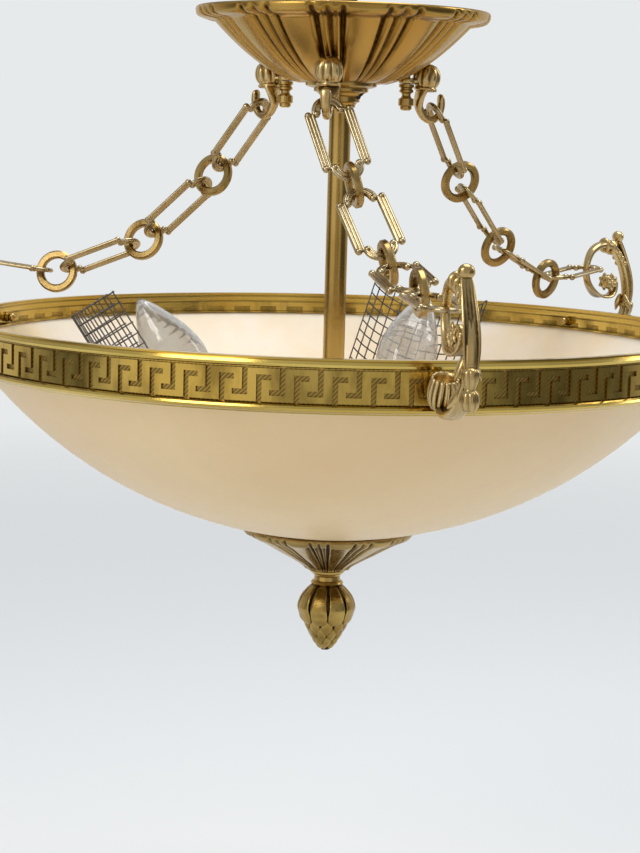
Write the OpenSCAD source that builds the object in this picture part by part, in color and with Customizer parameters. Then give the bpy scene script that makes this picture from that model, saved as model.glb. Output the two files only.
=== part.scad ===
// Glass pendant light. A shallow glass bowl in a brass band hangs on a stem under a fluted
// canopy. Three slack chains run from hooks on the canopy to scroll brackets on the band.
// The origin is the centre of the hanging loop's eye. The camera side is -Y.
// A bearing is an angle about Z, 0 toward -Y, positive toward +X.

/* [Stem] */
// Bore of the hanging loop's eye
loop_bore = 16; // [12:1:20]
// Thickness of the flat eye
loop_t = 6; // [4:0.5:8]
// Outer diameter of the threaded rod
rod_d = 10; // [9:0.5:10]
// Bore of the threaded rod
rod_bore = 7; // [5:0.5:7.5]
// Outer diameter of the stem tube
stem_d = 12; // [12:0.5:16]

/* [Canopy] */
// Drop from the loop's eye to the canopy's rim
canopy_drop = 18; // [16:1:26]
// Diameter over the canopy's lip
canopy_d = 160; // [150:1:180]
// Height of the canopy
canopy_h = 39; // [36:1:44]
// Wall of the canopy
canopy_wall = 2.2; // [1.6:0.2:3]
// Broad tongues round the canopy
tongues = 12; // [9:1:16]
// Diameter of the collar under the canopy
collar_d = 39; // [36:1:42]
// Height of the collar
collar_h = 13; // [11:0.5:16]

/* [Canopy hooks] */
// Bearing of the front hook
hook_bearing = -7.5; // [-20:0.5:20]
// Radius of the finial nuts' circle
nut_circle_r = 39; // [38:0.5:40]
// Width of the hook's neck
hook_w = 8.4; // [7:0.2:10]

/* [Chains] */
// Clear length inside a link
link_inner = 40.4; // [39:0.2:42]
// Thickness of a link
link_t = 2.6; // [2.2:0.1:3]
// Inner radius of a link's round ends
link_end_r = 4.3; // [4:0.1:4.8]
// Inner radius of a ring
ring_inner = 7.7; // [7.4:0.1:8]
// Outer radius of a ring
ring_outer = 12.1; // [11.8:0.1:12.4]
// Thickness of a ring
ring_t = 4; // [3:0.2:4.4]

/* [Band] */
// Drop from the canopy's rim to the band's top
band_drop = 169; // [165:1:180]
// Outer diameter of the band
band_d = 410; // [405:1:420]
// Height of the band
band_h = 26; // [25:0.5:30]
// Key units round the frieze
key_units = 72; // [60:1:80]
// Bearing of the front bracket
bracket_bearing = 13.5; // [0:0.5:30]

/* [Bowl] */
// Outer radius of the glass, as a part of a ball
glass_r = 247; // [243:1:260]
// Wall of the glass
glass_wall = 6; // [4:0.5:7]

/* [Lamps] */
// Lean of each lamp away from the stem
lamp_tilt = 33; // [30:1:34]
// Largest diameter of a bulb
bulb_d = 35; // [33:1:37]
// Length of a bulb with its cap
bulb_len = 100; // [96:1:104]
// Radius of the wire mesh guards
guard_r = 36; // [34:1:38]
// Opening of the wire mesh
mesh_pitch = 6.35; // [6:0.05:8]

/* [Finial] */
// Diameter of the fluted cup
cup_d = 95; // [88:1:104]
// Height of the cup below its rim
cup_h = 24; // [21:0.5:28]
// Broad lobes round the cup
cup_lobes = 12; // [9:1:16]
// Largest diameter of the pine cone
cone_d = 31.5; // [30:0.5:36]
// Length of the pine cone
cone_len = 37.5; // [34:0.5:42]

/* [Hidden] */

// Gap between a piece and its seat
seat_gap = 0.3;
// Radial clearance of a running fit
run_gap = 0.1;

// Heights
canopy_top = -canopy_drop;
canopy_bottom = canopy_top - canopy_h;
collar_bottom = canopy_bottom - collar_h;
band_top = canopy_top - band_drop;
band_bottom = band_top - band_h;
band_mid = band_top - 13;
bracket_screw_z = band_top - 8;
// The ball ends at rim_z; a straight lip goes on up to the visible edge of the glass
rim_depth = 20;
lip_depth = 12.5;
rim_z = band_top - rim_depth;
lip_z = band_top - lip_depth;
band_r = band_d / 2;
rim_r = band_r - 7;
ball_z = rim_z + sqrt(glass_r * glass_r - rim_r * rim_r);
glass_bottom = ball_z - glass_r;
glass_floor = glass_bottom + glass_wall;
cup_rim_r = cup_d / 2;
cup_top = ball_z - sqrt(glass_r * glass_r - cup_rim_r * cup_rim_r) - seat_gap;
cup_bottom = cup_top - cup_h;
neck_h = 9.8;
neck_bottom = cup_bottom - neck_h;
cone_bottom = neck_bottom - cone_len;
rod_top = -13;
rod_bottom = neck_bottom - 12;
loop_bottom = -27;
nut_bottom = loop_bottom - 6;
lead_hole_z = nut_bottom - 7.8;
lead_hole_d = 7.6;

// Metal and glass colours
brass = [0.78, 0.62, 0.27];
bronze = [0.70, 0.50, 0.26];
silvered = [0.77, 0.69, 0.53];
polished = [0.86, 0.76, 0.38];
alabaster = [0.95, 0.87, 0.76];

// Places a piece drawn in the XZ plane, with +X outward, at a bearing
module at_bearing(a) {
    rotate([0, 0, a - 90])
        children();
}

function bearing_point(r, a, z) = [r * sin(a), -r * cos(a), z];
function unit(v) = v / norm(v);
function mix(a, b, t) = a + (b - a) * t;
function total(v, i = 0) = i >= len(v) ? 0 : v[i] + total(v, i + 1);

// Smooth curve through hand-chosen stations, each a vector, n steps a span
function curve_at(p0, p1, p2, p3, t) =
    0.5 * (2 * p1 + (p2 - p0) * t + (2 * p0 - 5 * p1 + 4 * p2 - p3) * t * t
        + (3 * p1 - p0 - 3 * p2 + p3) * t * t * t);
function smooth(pts, n) = let (m = len(pts) - 1) [
    for (i = [0 : m - 1], k = [0 : n - 1])
        curve_at(pts[max(i - 1, 0)], pts[i], pts[i + 1], pts[min(i + 2, m)], k / n),
    pts[m]
];

// Triangles that join rings of points, first ring to last, with flat ends
function skin_sides(rows, n) = [
    for (i = [0 : rows - 2], j = [0 : n - 1])
        each let (a = i * n + j, b = i * n + (j + 1) % n, c = a + n, d = b + n)
            [[a, b, d], [a, d, c]]
];
module skin(rings) {
    n = len(rings[0]);
    rows = len(rings);
    polyhedron(
        points = [for (r = rings) each r],
        faces = concat(skin_sides(rows, n),
            [[for (j = [n - 1 : -1 : 0]) j]],
            [[for (j = [0 : n - 1]) (rows - 1) * n + j]]),
        convexity = 8);
}

// Triangles of a closed shell: the last ring joins the first
module ring_skin(rings) {
    n = len(rings[0]);
    rows = len(rings);
    polyhedron(
        points = [for (r = rings) each r],
        faces = concat(skin_sides(rows, n), [
            for (j = [0 : n - 1])
                each let (a = (rows - 1) * n + j, b = (rows - 1) * n + (j + 1) % n, k = (j + 1) % n)
                    [[a, b, k], [a, k, j]]
        ]),
        convexity = 8);
}

// Section rings of a strap in the XZ plane. A station is [x, z, thickness, width].
function strap_rings(st, n, ribs = 0, rib_h = 0) = let (m = len(st) - 1) [
    for (i = [0 : m])
        let (
            a = st[max(i - 1, 0)],
            b = st[min(i + 1, m)],
            d = unit([b[0] - a[0], b[1] - a[1]]),
            u = [-d[1], d[0]]
        )
        [for (j = [0 : n - 1])
            let (
                g = 360 * j / n,
                k = 1 + (ribs > 0 ? rib_h * cos(ribs * g) : 0),
                p = st[i][2] / 2 * cos(g) * k,
                q = st[i][3] / 2 * sin(g) * k
            )
            [st[i][0] + u[0] * p, q, st[i][1] + u[1] * p]
        ]
];

// Stem

module hanging_loop() {
    eye_wall = 6;
    shank_d = 15;
    color("dimgray")
        difference() {
            union() {
                rotate([90, 0, 0])
                    cylinder(h = loop_t, d = loop_bore + 2 * eye_wall, center = true, $fn = 64);
                translate([0, 0, loop_bottom])
                    cylinder(h = -loop_bottom - loop_bore / 2 - 1, d = shank_d, $fn = 48);
            }
            rotate([90, 0, 0])
                cylinder(h = 3 * shank_d, d = loop_bore, center = true, $fn = 64);
            translate([0, 0, loop_bottom - 1])
                cylinder(h = rod_top - loop_bottom + 1.5, d = rod_d + 2 * run_gap, $fn = 48);
        }
}

module loop_lock_nut() {
    nut_d = 17;
    color("silver")
        translate([0, 0, nut_bottom])
            difference() {
                cylinder(h = loop_bottom - nut_bottom - seat_gap, d = nut_d, $fn = 6);
                translate([0, 0, -1])
                    cylinder(h = loop_bottom - nut_bottom + 2, d = rod_d + 2 * run_gap, $fn = 48);
            }
}

module threaded_rod() {
    color("silver")
        difference() {
            translate([0, 0, rod_bottom])
                cylinder(h = rod_top - rod_bottom, d = rod_d, $fn = 48);
            translate([0, 0, rod_bottom - 1])
                cylinder(h = rod_top - rod_bottom + 2, d = rod_bore, $fn = 48);
            lead_hole();
        }
}

// Side hole through which the leads enter the rod
module lead_hole() {
    translate([0, 0, lead_hole_z])
        rotate([0, -90, 0])
            cylinder(h = stem_d, d = lead_hole_d, $fn = 48);
}

hub_top = glass_floor + 25;
module stem_tube() {
    color(brass)
        difference() {
            translate([0, 0, hub_top])
                cylinder(h = nut_bottom - seat_gap - hub_top, d = stem_d, $fn = 64);
            translate([0, 0, hub_top - 1])
                cylinder(h = nut_bottom - hub_top + 2, d = rod_d + 2 * run_gap, $fn = 64);
            lead_hole();
        }
}

// Wiring above the canopy

block = [22, 12, 11];
block_pos = [-24, -4, -20];
module terminal_block() {
    strap_t = 1.6;
    color("black")
        difference() {
            union() {
                translate(block_pos)
                    cube(block, center = true);
                // strap that clips the block to the lock nut's shank
                translate([block_pos[0] + block[0] / 2 - 1, block_pos[1] - 3, block_pos[2] - block[2] / 2])
                    cube([7, 6, strap_t]);
            }
            for (x = [-6, 0, 6])
                translate(block_pos + [x, 0, block[2] / 2 - 3])
                    cylinder(h = 4, d = 3.4, $fn = 24);
        }
}

// A lead swept along hand-chosen points
lead_d = 3;
brown_path = [[-30, -4, -14.2], [-31, -5, -9], [-26, -9, -4], [-17, -13, -4], [-11, -14, -12],
    [-10.5, -12, -22], [-10.8, -9, -31], [-10.4, -4.5, -38], [-8, -1.9, -40.6], [-4.8, -1.75, -40.8]];
black_path = [[-18, -4, -14.2], [-17, -2, -9], [-16, 4, -4], [-13, 11, -5], [-11, 13, -14],
    [-10.4, 12, -24], [-10.8, 9, -32], [-10.4, 4.5, -38], [-8, 1.9, -40.6], [-4.8, 1.75, -40.8]];
function lead_rings(path) = let (p = smooth(path, 3), m = len(p) - 1, n = 8) [
    for (i = [0 : m])
        let (
            d = i == 0 ? [0, 0, 1] : i == m ? [1, 0, 0] : unit(p[i + 1] - p[i - 1]),
            u = unit(cross(d, [0.31, 0.95, 0.02])),
            w = cross(u, d)
        )
        [for (j = [0 : n - 1]) p[i] + lead_d / 2 * (u * cos(360 * j / n) + w * sin(360 * j / n))]
];
module brown_lead() {
    color("saddlebrown")
        skin(lead_rings(brown_path));
}
module black_lead() {
    color([0.1, 0.1, 0.1])
        skin(lead_rings(black_path));
}

// Canopy

throat_r = 20;
bell_r = canopy_d / 2 - 11.5;
bell_h = canopy_h - 6.8;
function bell_radius(z) = throat_r + (bell_r - throat_r) * pow(max((z - canopy_bottom) / bell_h, 0), 0.6);
function bell_height(r) = canopy_bottom + bell_h * pow((r - throat_r) / (bell_r - throat_r), 1 / 0.6);

// Heights of the flutes inside one tongue's sector: angle share, then relief in mm
flute = [[0, -1.6], [0.06, 0.2], [0.3, 0.9], [0.54, 0.2], [0.6, -1.6], [0.7, 0.3], [0.8, -0.9], [0.9, 0.3]];
function fluted(r, z, gain, count, start) = [
    for (i = [0 : count - 1], f = flute)
        let (a = start + 360 * (i + f[0]) / count, q = r + gain * f[1])
        [q * sin(a), -q * cos(a), z + gain * 0.5 * (f[1] < -1 ? 1 : 0)]
];
canopy_rings = concat(
    [
        fluted(canopy_d / 2 - 0.4, canopy_top, 0, tongues, 0),
        fluted(canopy_d / 2, canopy_top - 1.4, 0, tongues, 0),
        fluted(canopy_d / 2 - 0.6, canopy_top - 4, 0.3, tongues, 0),
        fluted(canopy_d / 2 - 2.4, canopy_top - 5.5, 0.7, tongues, 0),
        fluted(canopy_d / 2 - 7.6, canopy_top - 6.2, 1, tongues, 0)
    ],
    [for (s = [1, 0.78, 0.58, 0.4, 0.25, 0.12, 0.03])
        fluted(bell_radius(canopy_bottom + s * bell_h), canopy_bottom + s * bell_h,
            mix(0.35, 1.15, s), tongues, 0)],
    [
        fluted(14, canopy_bottom, 0, tongues, 0),
        fluted(7, canopy_bottom, 0, tongues, 0),
        fluted(7, canopy_bottom + canopy_wall, 0, tongues, 0)
    ],
    [for (s = [0.05, 0.25, 0.58, 1])
        fluted(bell_radius(canopy_bottom + s * bell_h) - canopy_wall - 1.9 * s,
            canopy_bottom + s * bell_h + canopy_wall * 1.1, 0, tongues, 0)],
    [fluted(canopy_d / 2 - 5, canopy_top, 0, tongues, 0)]
);
module canopy() {
    color(bronze)
        difference() {
            ring_skin(canopy_rings);
            for (k = [0 : 2])
                at_bearing(hook_bearing + 120 * k)
                    translate([nut_circle_r, 0, canopy_bottom + 1])
                        cylinder(h = 16, d = stud_d + 2 * seat_gap, $fn = 24);
        }
}

screw_z = collar_bottom + 6.5;
module canopy_collar() {
    foot_r = stem_d / 2 + 2;
    color(brass)
        difference() {
            rotate_extrude($fn = 96)
                polygon([[stem_d / 2 + run_gap, canopy_bottom], [collar_d / 2, canopy_bottom],
                    [collar_d / 2, canopy_bottom - 1.6], [collar_d / 2 - 2, canopy_bottom - 2.4],
                    [collar_d / 2 - 4.6, canopy_bottom - 3], [collar_d / 2 - 4.6, canopy_bottom - 4.6],
                    [collar_d / 2 - 6.6, canopy_bottom - 5.4], [collar_d / 2 - 8, canopy_bottom - 6.8],
                    [collar_d / 2 - 9.2, canopy_bottom - 7.4], [collar_d / 2 - 9.2, collar_bottom + 3],
                    [foot_r + 0.8, collar_bottom + 2.4], [foot_r, collar_bottom + 1.2],
                    [foot_r, collar_bottom], [stem_d / 2 + run_gap, collar_bottom]]);
            at_bearing(65)
                translate([0, 0, screw_z])
                    rotate([0, 90, 0])
                        cylinder(h = 30, d = 4.2, $fn = 32);
        }
}

module collar_screw() {
    color("dimgray")
        at_bearing(65)
            translate([stem_d / 2 + 0.1, 0, screw_z])
                rotate([0, 90, 0])
                    difference() {
                        cylinder(h = 5, d = 4, $fn = 32);
                        translate([0, 0, 3.4])
                            cube([6, 0.9, 3.4], center = true);
                    }
}

// Canopy hooks

stud_d = 4;
head_r = 5.9;
head_at = [49.2, canopy_bottom + 5.5];
hook_seat = [56.4, canopy_bottom - 13.2];
lug_r = 4;
lug_t = 3;
lug_top = bell_height(nut_circle_r - lug_r) - 1.5 * seat_gap;
hook_spine = [
    [head_at[0] + 0.7, head_at[1] + 5.8, 1, 1.2], [head_at[0] + 0.4, head_at[1] + 4.2, 8.3, 8.3],
    [head_at[0], head_at[1], 2 * head_r, 2 * head_r], [head_at[0] - 0.4, head_at[1] - 4.6, 9, 10.4],
    [head_at[0] - 0.8, head_at[1] - 5.8, 8.2, 11.4], [head_at[0] - 1.5, head_at[1] - 7.6, 6, 10],
    [46.8, canopy_bottom - 5.6, 5, hook_w], [47.1, canopy_bottom - 11, 5, 7.2],
    [50.2, canopy_bottom - 16.6, 4.8, 5.2], [54.8, canopy_bottom - 18.4, 4.6, 4.4],
    [58.9, canopy_bottom - 15.8, 4.2, 4.2], [60.4, canopy_bottom - 11, 4, 4.2],
    [60, canopy_bottom - 6.6, 3.8, 4.2], [59.6, canopy_bottom - 4.6, 1.4, 1.6]
];
module canopy_hook() {
    difference() {
        union() {
            skin(strap_rings(smooth(hook_spine, 2), 14, 7, 0.05));
            // lug under the canopy that the finial nut clamps
            translate([nut_circle_r, 0, lug_top - lug_t])
                cylinder(h = lug_t, r = lug_r, $fn = 32);
            translate([nut_circle_r, -3, lug_top - lug_t])
                cube([head_at[0] - nut_circle_r, 6, lug_t]);
        }
        translate([nut_circle_r, 0, lug_top - lug_t - 1])
            cylinder(h = lug_t + 2, d = stud_d + 4 * run_gap, $fn = 32);
    }
}
module canopy_hooks() {
    color(silvered)
        for (k = [0 : 2])
            at_bearing(hook_bearing + 120 * k)
                canopy_hook();
}

nut_top = lug_top - lug_t - seat_gap;
module hook_finial_nuts() {
    color(brass)
        for (k = [0 : 2])
            at_bearing(hook_bearing + 120 * k)
                translate([nut_circle_r, 0, nut_top]) {
                    rotate_extrude($fn = 48)
                        polygon([[0, 0], [4.2, 0], [4.2, -1.6], [3.3, -2.2], [3.3, -2.8],
                            [3.9, -3.4], [3.9, -4.4], [2.6, -5.2], [2.4, -6.4], [3, -7.4],
                            [4.2, -8], [4.3, -11.6], [3.2, -12.2], [3.2, -13.6], [2.2, -14.4],
                            [0, -14.4]]);
                    cylinder(h = bell_height(nut_circle_r) + 10 - nut_top, d = stud_d, $fn = 32);
                }
}

module hook_inner_nuts() {
    nut_r = 3.6;
    low = bell_height(nut_circle_r + nut_r) + 1.45 * canopy_wall + 1.8;
    color("silver")
        for (k = [0 : 2])
            at_bearing(hook_bearing + 120 * k)
                translate([nut_circle_r, 0, low])
                    difference() {
                        cylinder(h = 3.2, r = nut_r, $fn = 6);
                        translate([0, 0, -1])
                            cylinder(h = 6, d = stud_d + 2 * run_gap, $fn = 32);
                    }
}

// Chains

bracket_seat = [band_r + 11.9, band_top + 24.8];
link_band = 4.8;
seat_a = [for (k = [0 : 2]) bearing_point(hook_seat[0], hook_bearing + 120 * k, hook_seat[1])];
seat_b = [for (k = [0 : 2]) bearing_point(bracket_seat[0], bracket_bearing + 120 * k, bracket_seat[1])];
span = seat_b[0] - seat_a[0];
level = norm([span[0], span[1]]);
// Least length of a chain, as a share of the way between its seats; links grow to give it
least_slack = 1.01;
link_clear = link_inner + max(0, (least_slack * norm(span) - 4 * link_inner - 6 * ring_inner
    + 8 * seat_gap) / 4);
bar_len = link_clear - 2 * link_end_r;
end_mid = link_end_r + link_band / 2;
bar_mid = end_mid + 3.95;
first_step = link_clear + ring_inner - 2 * seat_gap;
ring_step = link_clear + 2 * ring_inner - 2 * seat_gap;
steps = [first_step, ring_step, ring_step, first_step];
// Share of the chain's length at the middle of each step
shares = [for (i = [0 : 3]) (total([for (k = [0 : i]) steps[k]]) - steps[i] / 2) / total(steps)];

// How the slope's tangent grows along each chain: evenly in a free one, while the front
// chain drops steeply and then lies almost level
growth = [[0, 0.47, 0.93, 1], shares, shares];
// How far each chain hangs out of the plane of its seats, in degrees
chain_lean = [17, 0, 0];

// A hanging chain: Newton's method finds the first slope and the growth's gain that make
// the chain reach its far seat.
function reach(q, g) = let (t = [for (s = g) q[0] + q[1] * s]) [
    total([for (i = [0 : 3]) steps[i] / sqrt(1 + t[i] * t[i])]),
    total([for (i = [0 : 3]) steps[i] * t[i] / sqrt(1 + t[i] * t[i])])
];
function solve(q, g, goal, n) = n == 0 ? q : let (
        e = 0.0001,
        f = reach(q, g) - goal,
        a = (reach(q + [e, 0], g) - goal - f) / e,
        b = (reach(q + [0, e], g) - goal - f) / e,
        det = a[0] * b[1] - b[0] * a[1]
    )
    solve(q - [f[0] * b[1] - b[0] * f[1], a[0] * f[1] - f[0] * a[1]] / det, g, goal, n - 1);

// Turn v about the unit axis k
function spin(v, k, a) = v * cos(a) + cross(k, v) * sin(a) + k * (k * v) * (1 - cos(a));

slopes = [for (g = growth) solve([-1.5, 2], g, [level, span[2]], 16)];
tangents = [for (k = [0 : 2]) [for (s = growth[k]) slopes[k][0] + slopes[k][1] * s]];
function drop_points(k, i) = i == 0 ? [0, 0] : drop_points(k, i - 1)
    + steps[i - 1] * [1, tangents[k][i - 1]] / sqrt(1 + tangents[k][i - 1] * tangents[k][i - 1]);
function chain_points(k) = let (
        s = seat_b[k] - seat_a[k],
        out = unit([s[0], s[1], 0]),
        axis = unit(s)
    )
    [for (i = [0 : 4])
        let (p = drop_points(k, i))
        seat_a[k] + spin(out * p[0] + [0, 0, p[1]], axis, chain_lean[k])
    ];
points = [for (k = [0 : 2]) chain_points(k)];

// Twist of each link and ring about the chain, front, right and left, in degrees
link_twist = [[23, 20, 12, 0], [26, 26, 18, 0], [26, 26, 22, 4]];
ring_twist = [[22, 16, 6], [26, 22, 10], [26, 24, 13]];

// Puts a piece at p with its length along d, turned by a twist about it
module along(p, d, twist) {
    w0 = unit([-d[1], d[0], 0]);
    w = w0 * cos(twist) + cross(d, w0) * sin(twist);
    n = cross(d, w);
    multmatrix([[d[0], w[0], n[0], p[0]], [d[1], w[1], n[1], p[1]], [d[2], w[2], n[2], p[2]], [0, 0, 0, 1]])
        children();
}

module reeds(count, pitch, d) {
    square([pitch * (count - 1), 0.6 * link_t], center = true);
    for (i = [0 : count - 1])
        translate([(i - (count - 1) / 2) * pitch, 0])
            circle(d = d, $fn = 24);
}

module chain_link() {
    bead_d = 3.8;
    color(silvered)
        for (s = [-1, 1]) {
            translate([-bar_len / 2, s * bar_mid, 0])
                rotate([90, 0, 90])
                    linear_extrude(bar_len)
                        reeds(3, 1.75, 2);
            translate([s * bar_len / 2, 0, 0])
                rotate([0, 0, -90 * s])
                    rotate_extrude(angle = 180, $fn = 48)
                        translate([end_mid, 0])
                            reeds(2, link_band / 2, link_band / 2);
            for (t = [-1, 1]) {
                translate([t * bar_len / 2, s * end_mid, 0])
                    sphere(d = bead_d, $fn = 24);
                translate([t * bar_len / 2, s * (bar_mid + 0.7), 0])
                    sphere(d = bead_d, $fn = 24);
                translate([t * bar_len / 2, s * (end_mid + bar_mid + 0.7) / 2, 0])
                    rotate([90, 0, 0])
                        cylinder(h = bar_mid + 0.7 - end_mid, d = 1.8, center = true, $fn = 24);
            }
        }
}

module chain_ring() {
    edge = 0.9;
    color(brass)
        rotate_extrude($fn = 64)
            polygon([[ring_inner, edge - ring_t / 2], [ring_inner + edge, -ring_t / 2],
                [ring_outer - edge, -ring_t / 2], [ring_outer, edge - ring_t / 2],
                [ring_outer, ring_t / 2 - edge], [ring_outer - edge, ring_t / 2],
                [ring_inner + edge, ring_t / 2], [ring_inner, ring_t / 2 - edge]]);
}

// Link i, from 0, of chain k: its middle lies half a link from the seat or ring behind it
module hung_link(k, i) {
    a = points[k][i];
    d = unit(points[k][i + 1] - a);
    back = i == 0 ? seat_gap : ring_inner - seat_gap;
    along(a + d * (link_clear / 2 + back - (i == 0 ? 2 * seat_gap : 0)), d, link_twist[k][i])
        chain_link();
}

// Ring i, from 0, of chain k: its plane holds the pull of both links
module hung_ring(k, i) {
    p = points[k][i + 1];
    d = unit(unit(points[k][i + 2] - p) + unit(p - points[k][i]));
    along(p, d, ring_twist[k][i])
        rotate([90, 0, 0])
            chain_ring();
}

// Band and bowl

bead_out = 2.4;
frieze_r = band_r - bead_out;
frieze_t = 1;
frieze_top = band_top - 5.4;
frieze_h = band_h - 10.6;
frieze_bottom = frieze_top - frieze_h;
wall_in = band_r - 5.8;
screw_d = 3.9;
// Clearance holes for the bracket screws, through band and frieze
module screw_holes() {
    for (k = [0 : 2])
        at_bearing(bracket_bearing + 120 * k)
            translate([band_r - 10, 0, bracket_screw_z])
                rotate([0, 90, 0])
                    cylinder(h = 12, d = screw_d + 0.5, $fn = 32);
}

module bowl_band() {
    ledge_in = rim_r - 3;
    foot_in = sqrt(glass_r * glass_r - pow(ball_z - band_bottom, 2)) + 0.6;
    color(polished)
        difference() {
            rotate_extrude($fn = 180)
                polygon([[wall_in, band_top], [band_r - 2, band_top], [band_r - 2, band_top - 0.9],
                    [band_r - 0.6, band_top - 1.3], [band_r, band_top - 2.6], [band_r - 0.6, band_top - 3.9],
                    [band_r - 2, band_top - 4.4], [frieze_r - frieze_t, band_top - 4.8],
                    [frieze_r - frieze_t, frieze_bottom - 0.4], [band_r - 1.6, frieze_bottom - 0.8],
                    [band_r - 0.5, frieze_bottom - 1.4], [band_r, frieze_bottom - 2.4],
                    [band_r - 0.7, frieze_bottom - 3.5], [band_r - 2.2, frieze_bottom - 4],
                    [band_r - 3.4, band_bottom + 0.6], [band_r - 4, band_bottom], [foot_in, band_bottom],
                    [rim_r + 0.6, rim_z - 0.6], [rim_r + 0.6, lip_z + seat_gap], [ledge_in, lip_z + seat_gap],
                    [ledge_in, lip_z + 1], [wall_in, lip_z + 1.4]]);
            screw_holes();
        }
}

// One unit of the key: two hooked grooves, each an upright and a foot, cut through the strip
module key_cut() {
    unit_w = 2 * PI * frieze_r / key_units;
    bar = unit_w * 0.145;
    lead = 2.9;
    translate([0, 0, frieze_bottom - 1])
        cube([4, bar, frieze_h - lead + 1]);
    translate([0, 0, frieze_top - lead - bar])
        cube([4, unit_w * 0.4, bar]);
    translate([0, unit_w * 0.62, frieze_bottom + lead])
        cube([4, bar, frieze_h - lead + 1]);
    translate([0, unit_w * 0.35, frieze_bottom + lead])
        cube([4, unit_w * 0.62 - unit_w * 0.35 + bar, bar]);
}

module key_frieze() {
    color(polished)
        difference() {
            rotate_extrude($fn = 180)
                polygon([[frieze_r - frieze_t + 0.02, frieze_top], [frieze_r, frieze_top],
                    [frieze_r, frieze_bottom], [frieze_r - frieze_t + 0.02, frieze_bottom]]);
            for (i = [0 : key_units - 1])
                rotate([0, 0, 360 * i / key_units])
                    translate([frieze_r - 2, 0, 0])
                        key_cut();
            screw_holes();
        }
}

module glass_bowl() {
    color(alabaster)
        difference() {
            intersection() {
                translate([0, 0, ball_z])
                    sphere(r = glass_r, $fn = 200);
                translate([0, 0, glass_bottom - 1])
                    cylinder(h = lip_z - glass_bottom + 1, r = rim_r, $fn = 200);
            }
            translate([0, 0, ball_z])
                sphere(r = glass_r - glass_wall, $fn = 200);
            translate([0, 0, glass_bottom - 2])
                cylinder(h = glass_wall + 4, d = rod_d + 2, $fn = 48);
        }
}

// Scroll brackets

// Radii of the bracket count from the band's outer face
rose_at = [31.5, band_top + 15.5];
scroll_spine = [
    [38.5, rose_at[1] + 0.5, 2.6, 5], [37.3, rose_at[1] - 6, 3, 6], [31.5, rose_at[1] - 9.6, 3.4, 7],
    [21, rose_at[1] - 8.6, 3.8, 7.2], [12.2, rose_at[1] - 1, 3.8, 5.6], [9.7, rose_at[1] + 9, 3.8, 5.2],
    [13.4, rose_at[1] + 18.4, 4, 6], [21, rose_at[1] + 22.6, 4.2, 7], [29, rose_at[1] + 22.6, 4.6, 7.2],
    [37, rose_at[1] + 19.4, 4.8, 7], [44, rose_at[1] + 11.6, 5, 6.8], [48.6, rose_at[1] + 1.4, 5.2, 6.8],
    [50.6, rose_at[1] - 9, 5.2, 6.8], [49.6, rose_at[1] - 18, 5, 7], [45.6, band_mid + 4, 4.6, 7.4],
    [38, band_mid - 3.4, 4.2, 9], [28, band_mid - 7.4, 4, 11], [18, band_mid - 8.6, 3.8, 14],
    [8.6, band_mid - 6.8, 3.6, 16], [3.4, band_mid - 1, 3.4, 16.6], [4.4, band_mid + 6, 3.2, 15.6],
    [10.4, band_mid + 8.6, 3, 13.6], [15, band_mid + 4.6, 2.6, 11.6], [13.4, band_mid + 0.6, 1.6, 9]
];
module bracket() {
    drop = [51.2, band_mid + 12.5];
    translate([band_r, 0, 0])
        difference() {
            union() {
                skin(strap_rings(smooth(scroll_spine, 3), 8));
                // rosette
                translate([rose_at[0], 0, rose_at[1]]) {
                    rotate([90, 0, 0])
                        cylinder(h = 6, d = 9, center = true, $fn = 32);
                    for (s = [-1, 1], i = [0 : 5])
                        rotate([0, 60 * i, 0])
                            translate([3.4, s * 2.8, 0])
                                sphere(d = 4, $fn = 20);
                    translate([3.4, -2, -2])
                        cube([4, 4, 4]);
                }
                // collar beads at the top of the scroll
                for (x = [27.5, 33.5])
                    translate([x, 0, rose_at[1] + (x < 30 ? 22.8 : 21.2)])
                        sphere(d = 8.2, $fn = 28);
                // upright bud
                translate([38.2, 0, rose_at[1] + 22])
                    sphere(d = 6.4, $fn = 24);
                translate([38.8, 0, rose_at[1] + 26])
                    sphere(d = 4.2, $fn = 24);
                // drop bud in two stages
                translate([drop[0], 0, drop[1] - 16.5])
                    rotate_extrude($fn = 32)
                        polygon([[0, 0], [3.2, 0.6], [4.3, 4], [4, 7.4], [4.6, 8.4], [4.4, 11],
                            [3, 15.5], [0, 18]]);
            }
            // tapped hole for the screw
            translate([-2, 0, bracket_screw_z])
                rotate([0, 90, 0])
                    cylinder(h = 9, d = screw_d + 2 * run_gap, $fn = 32);
        }
}
module front_bracket() {
    color(silvered)
        at_bearing(bracket_bearing)
            bracket();
}
module right_bracket() {
    color(silvered)
        at_bearing(bracket_bearing + 120)
            bracket();
}
module left_bracket() {
    color(silvered)
        at_bearing(bracket_bearing + 240)
            bracket();
}

module bracket_screws() {
    ball_d = 5;
    flange_d = 5.2;
    color(brass)
        for (k = [0 : 2])
            at_bearing(bracket_bearing + 120 * k)
                translate([0, 0, bracket_screw_z]) {
                    translate([wall_in - ball_d / 2 - 1.2, 0, 0])
                        sphere(d = ball_d, $fn = 32);
                    translate([wall_in - 2.2, 0, 0])
                        rotate([0, 90, 0])
                            cylinder(h = 1.9, d = flange_d, $fn = 32);
                    translate([wall_in - 1, 0, 0])
                        rotate([0, 90, 0])
                            cylinder(h = band_r + 4.4 - wall_in, d = screw_d, $fn = 32);
                }
}

// Lamps

plate_t = 3;
felt_t = 2;
felt_r = 22;
felt_bottom = ball_z - sqrt(pow(glass_r - glass_wall, 2) - felt_r * felt_r) + seat_gap;
plate_bottom = felt_bottom + felt_t;
hub_bottom = plate_bottom + plate_t;
hub_d = 34;
holder_len = 46;
holder_d = 27;
// Seat of the bulb's cap, deep enough that the glass starts just inside the mouth
cap_depth = holder_len - 26;
cap_d = 14;
lamp_bearings = [-90, 30, 150];
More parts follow.
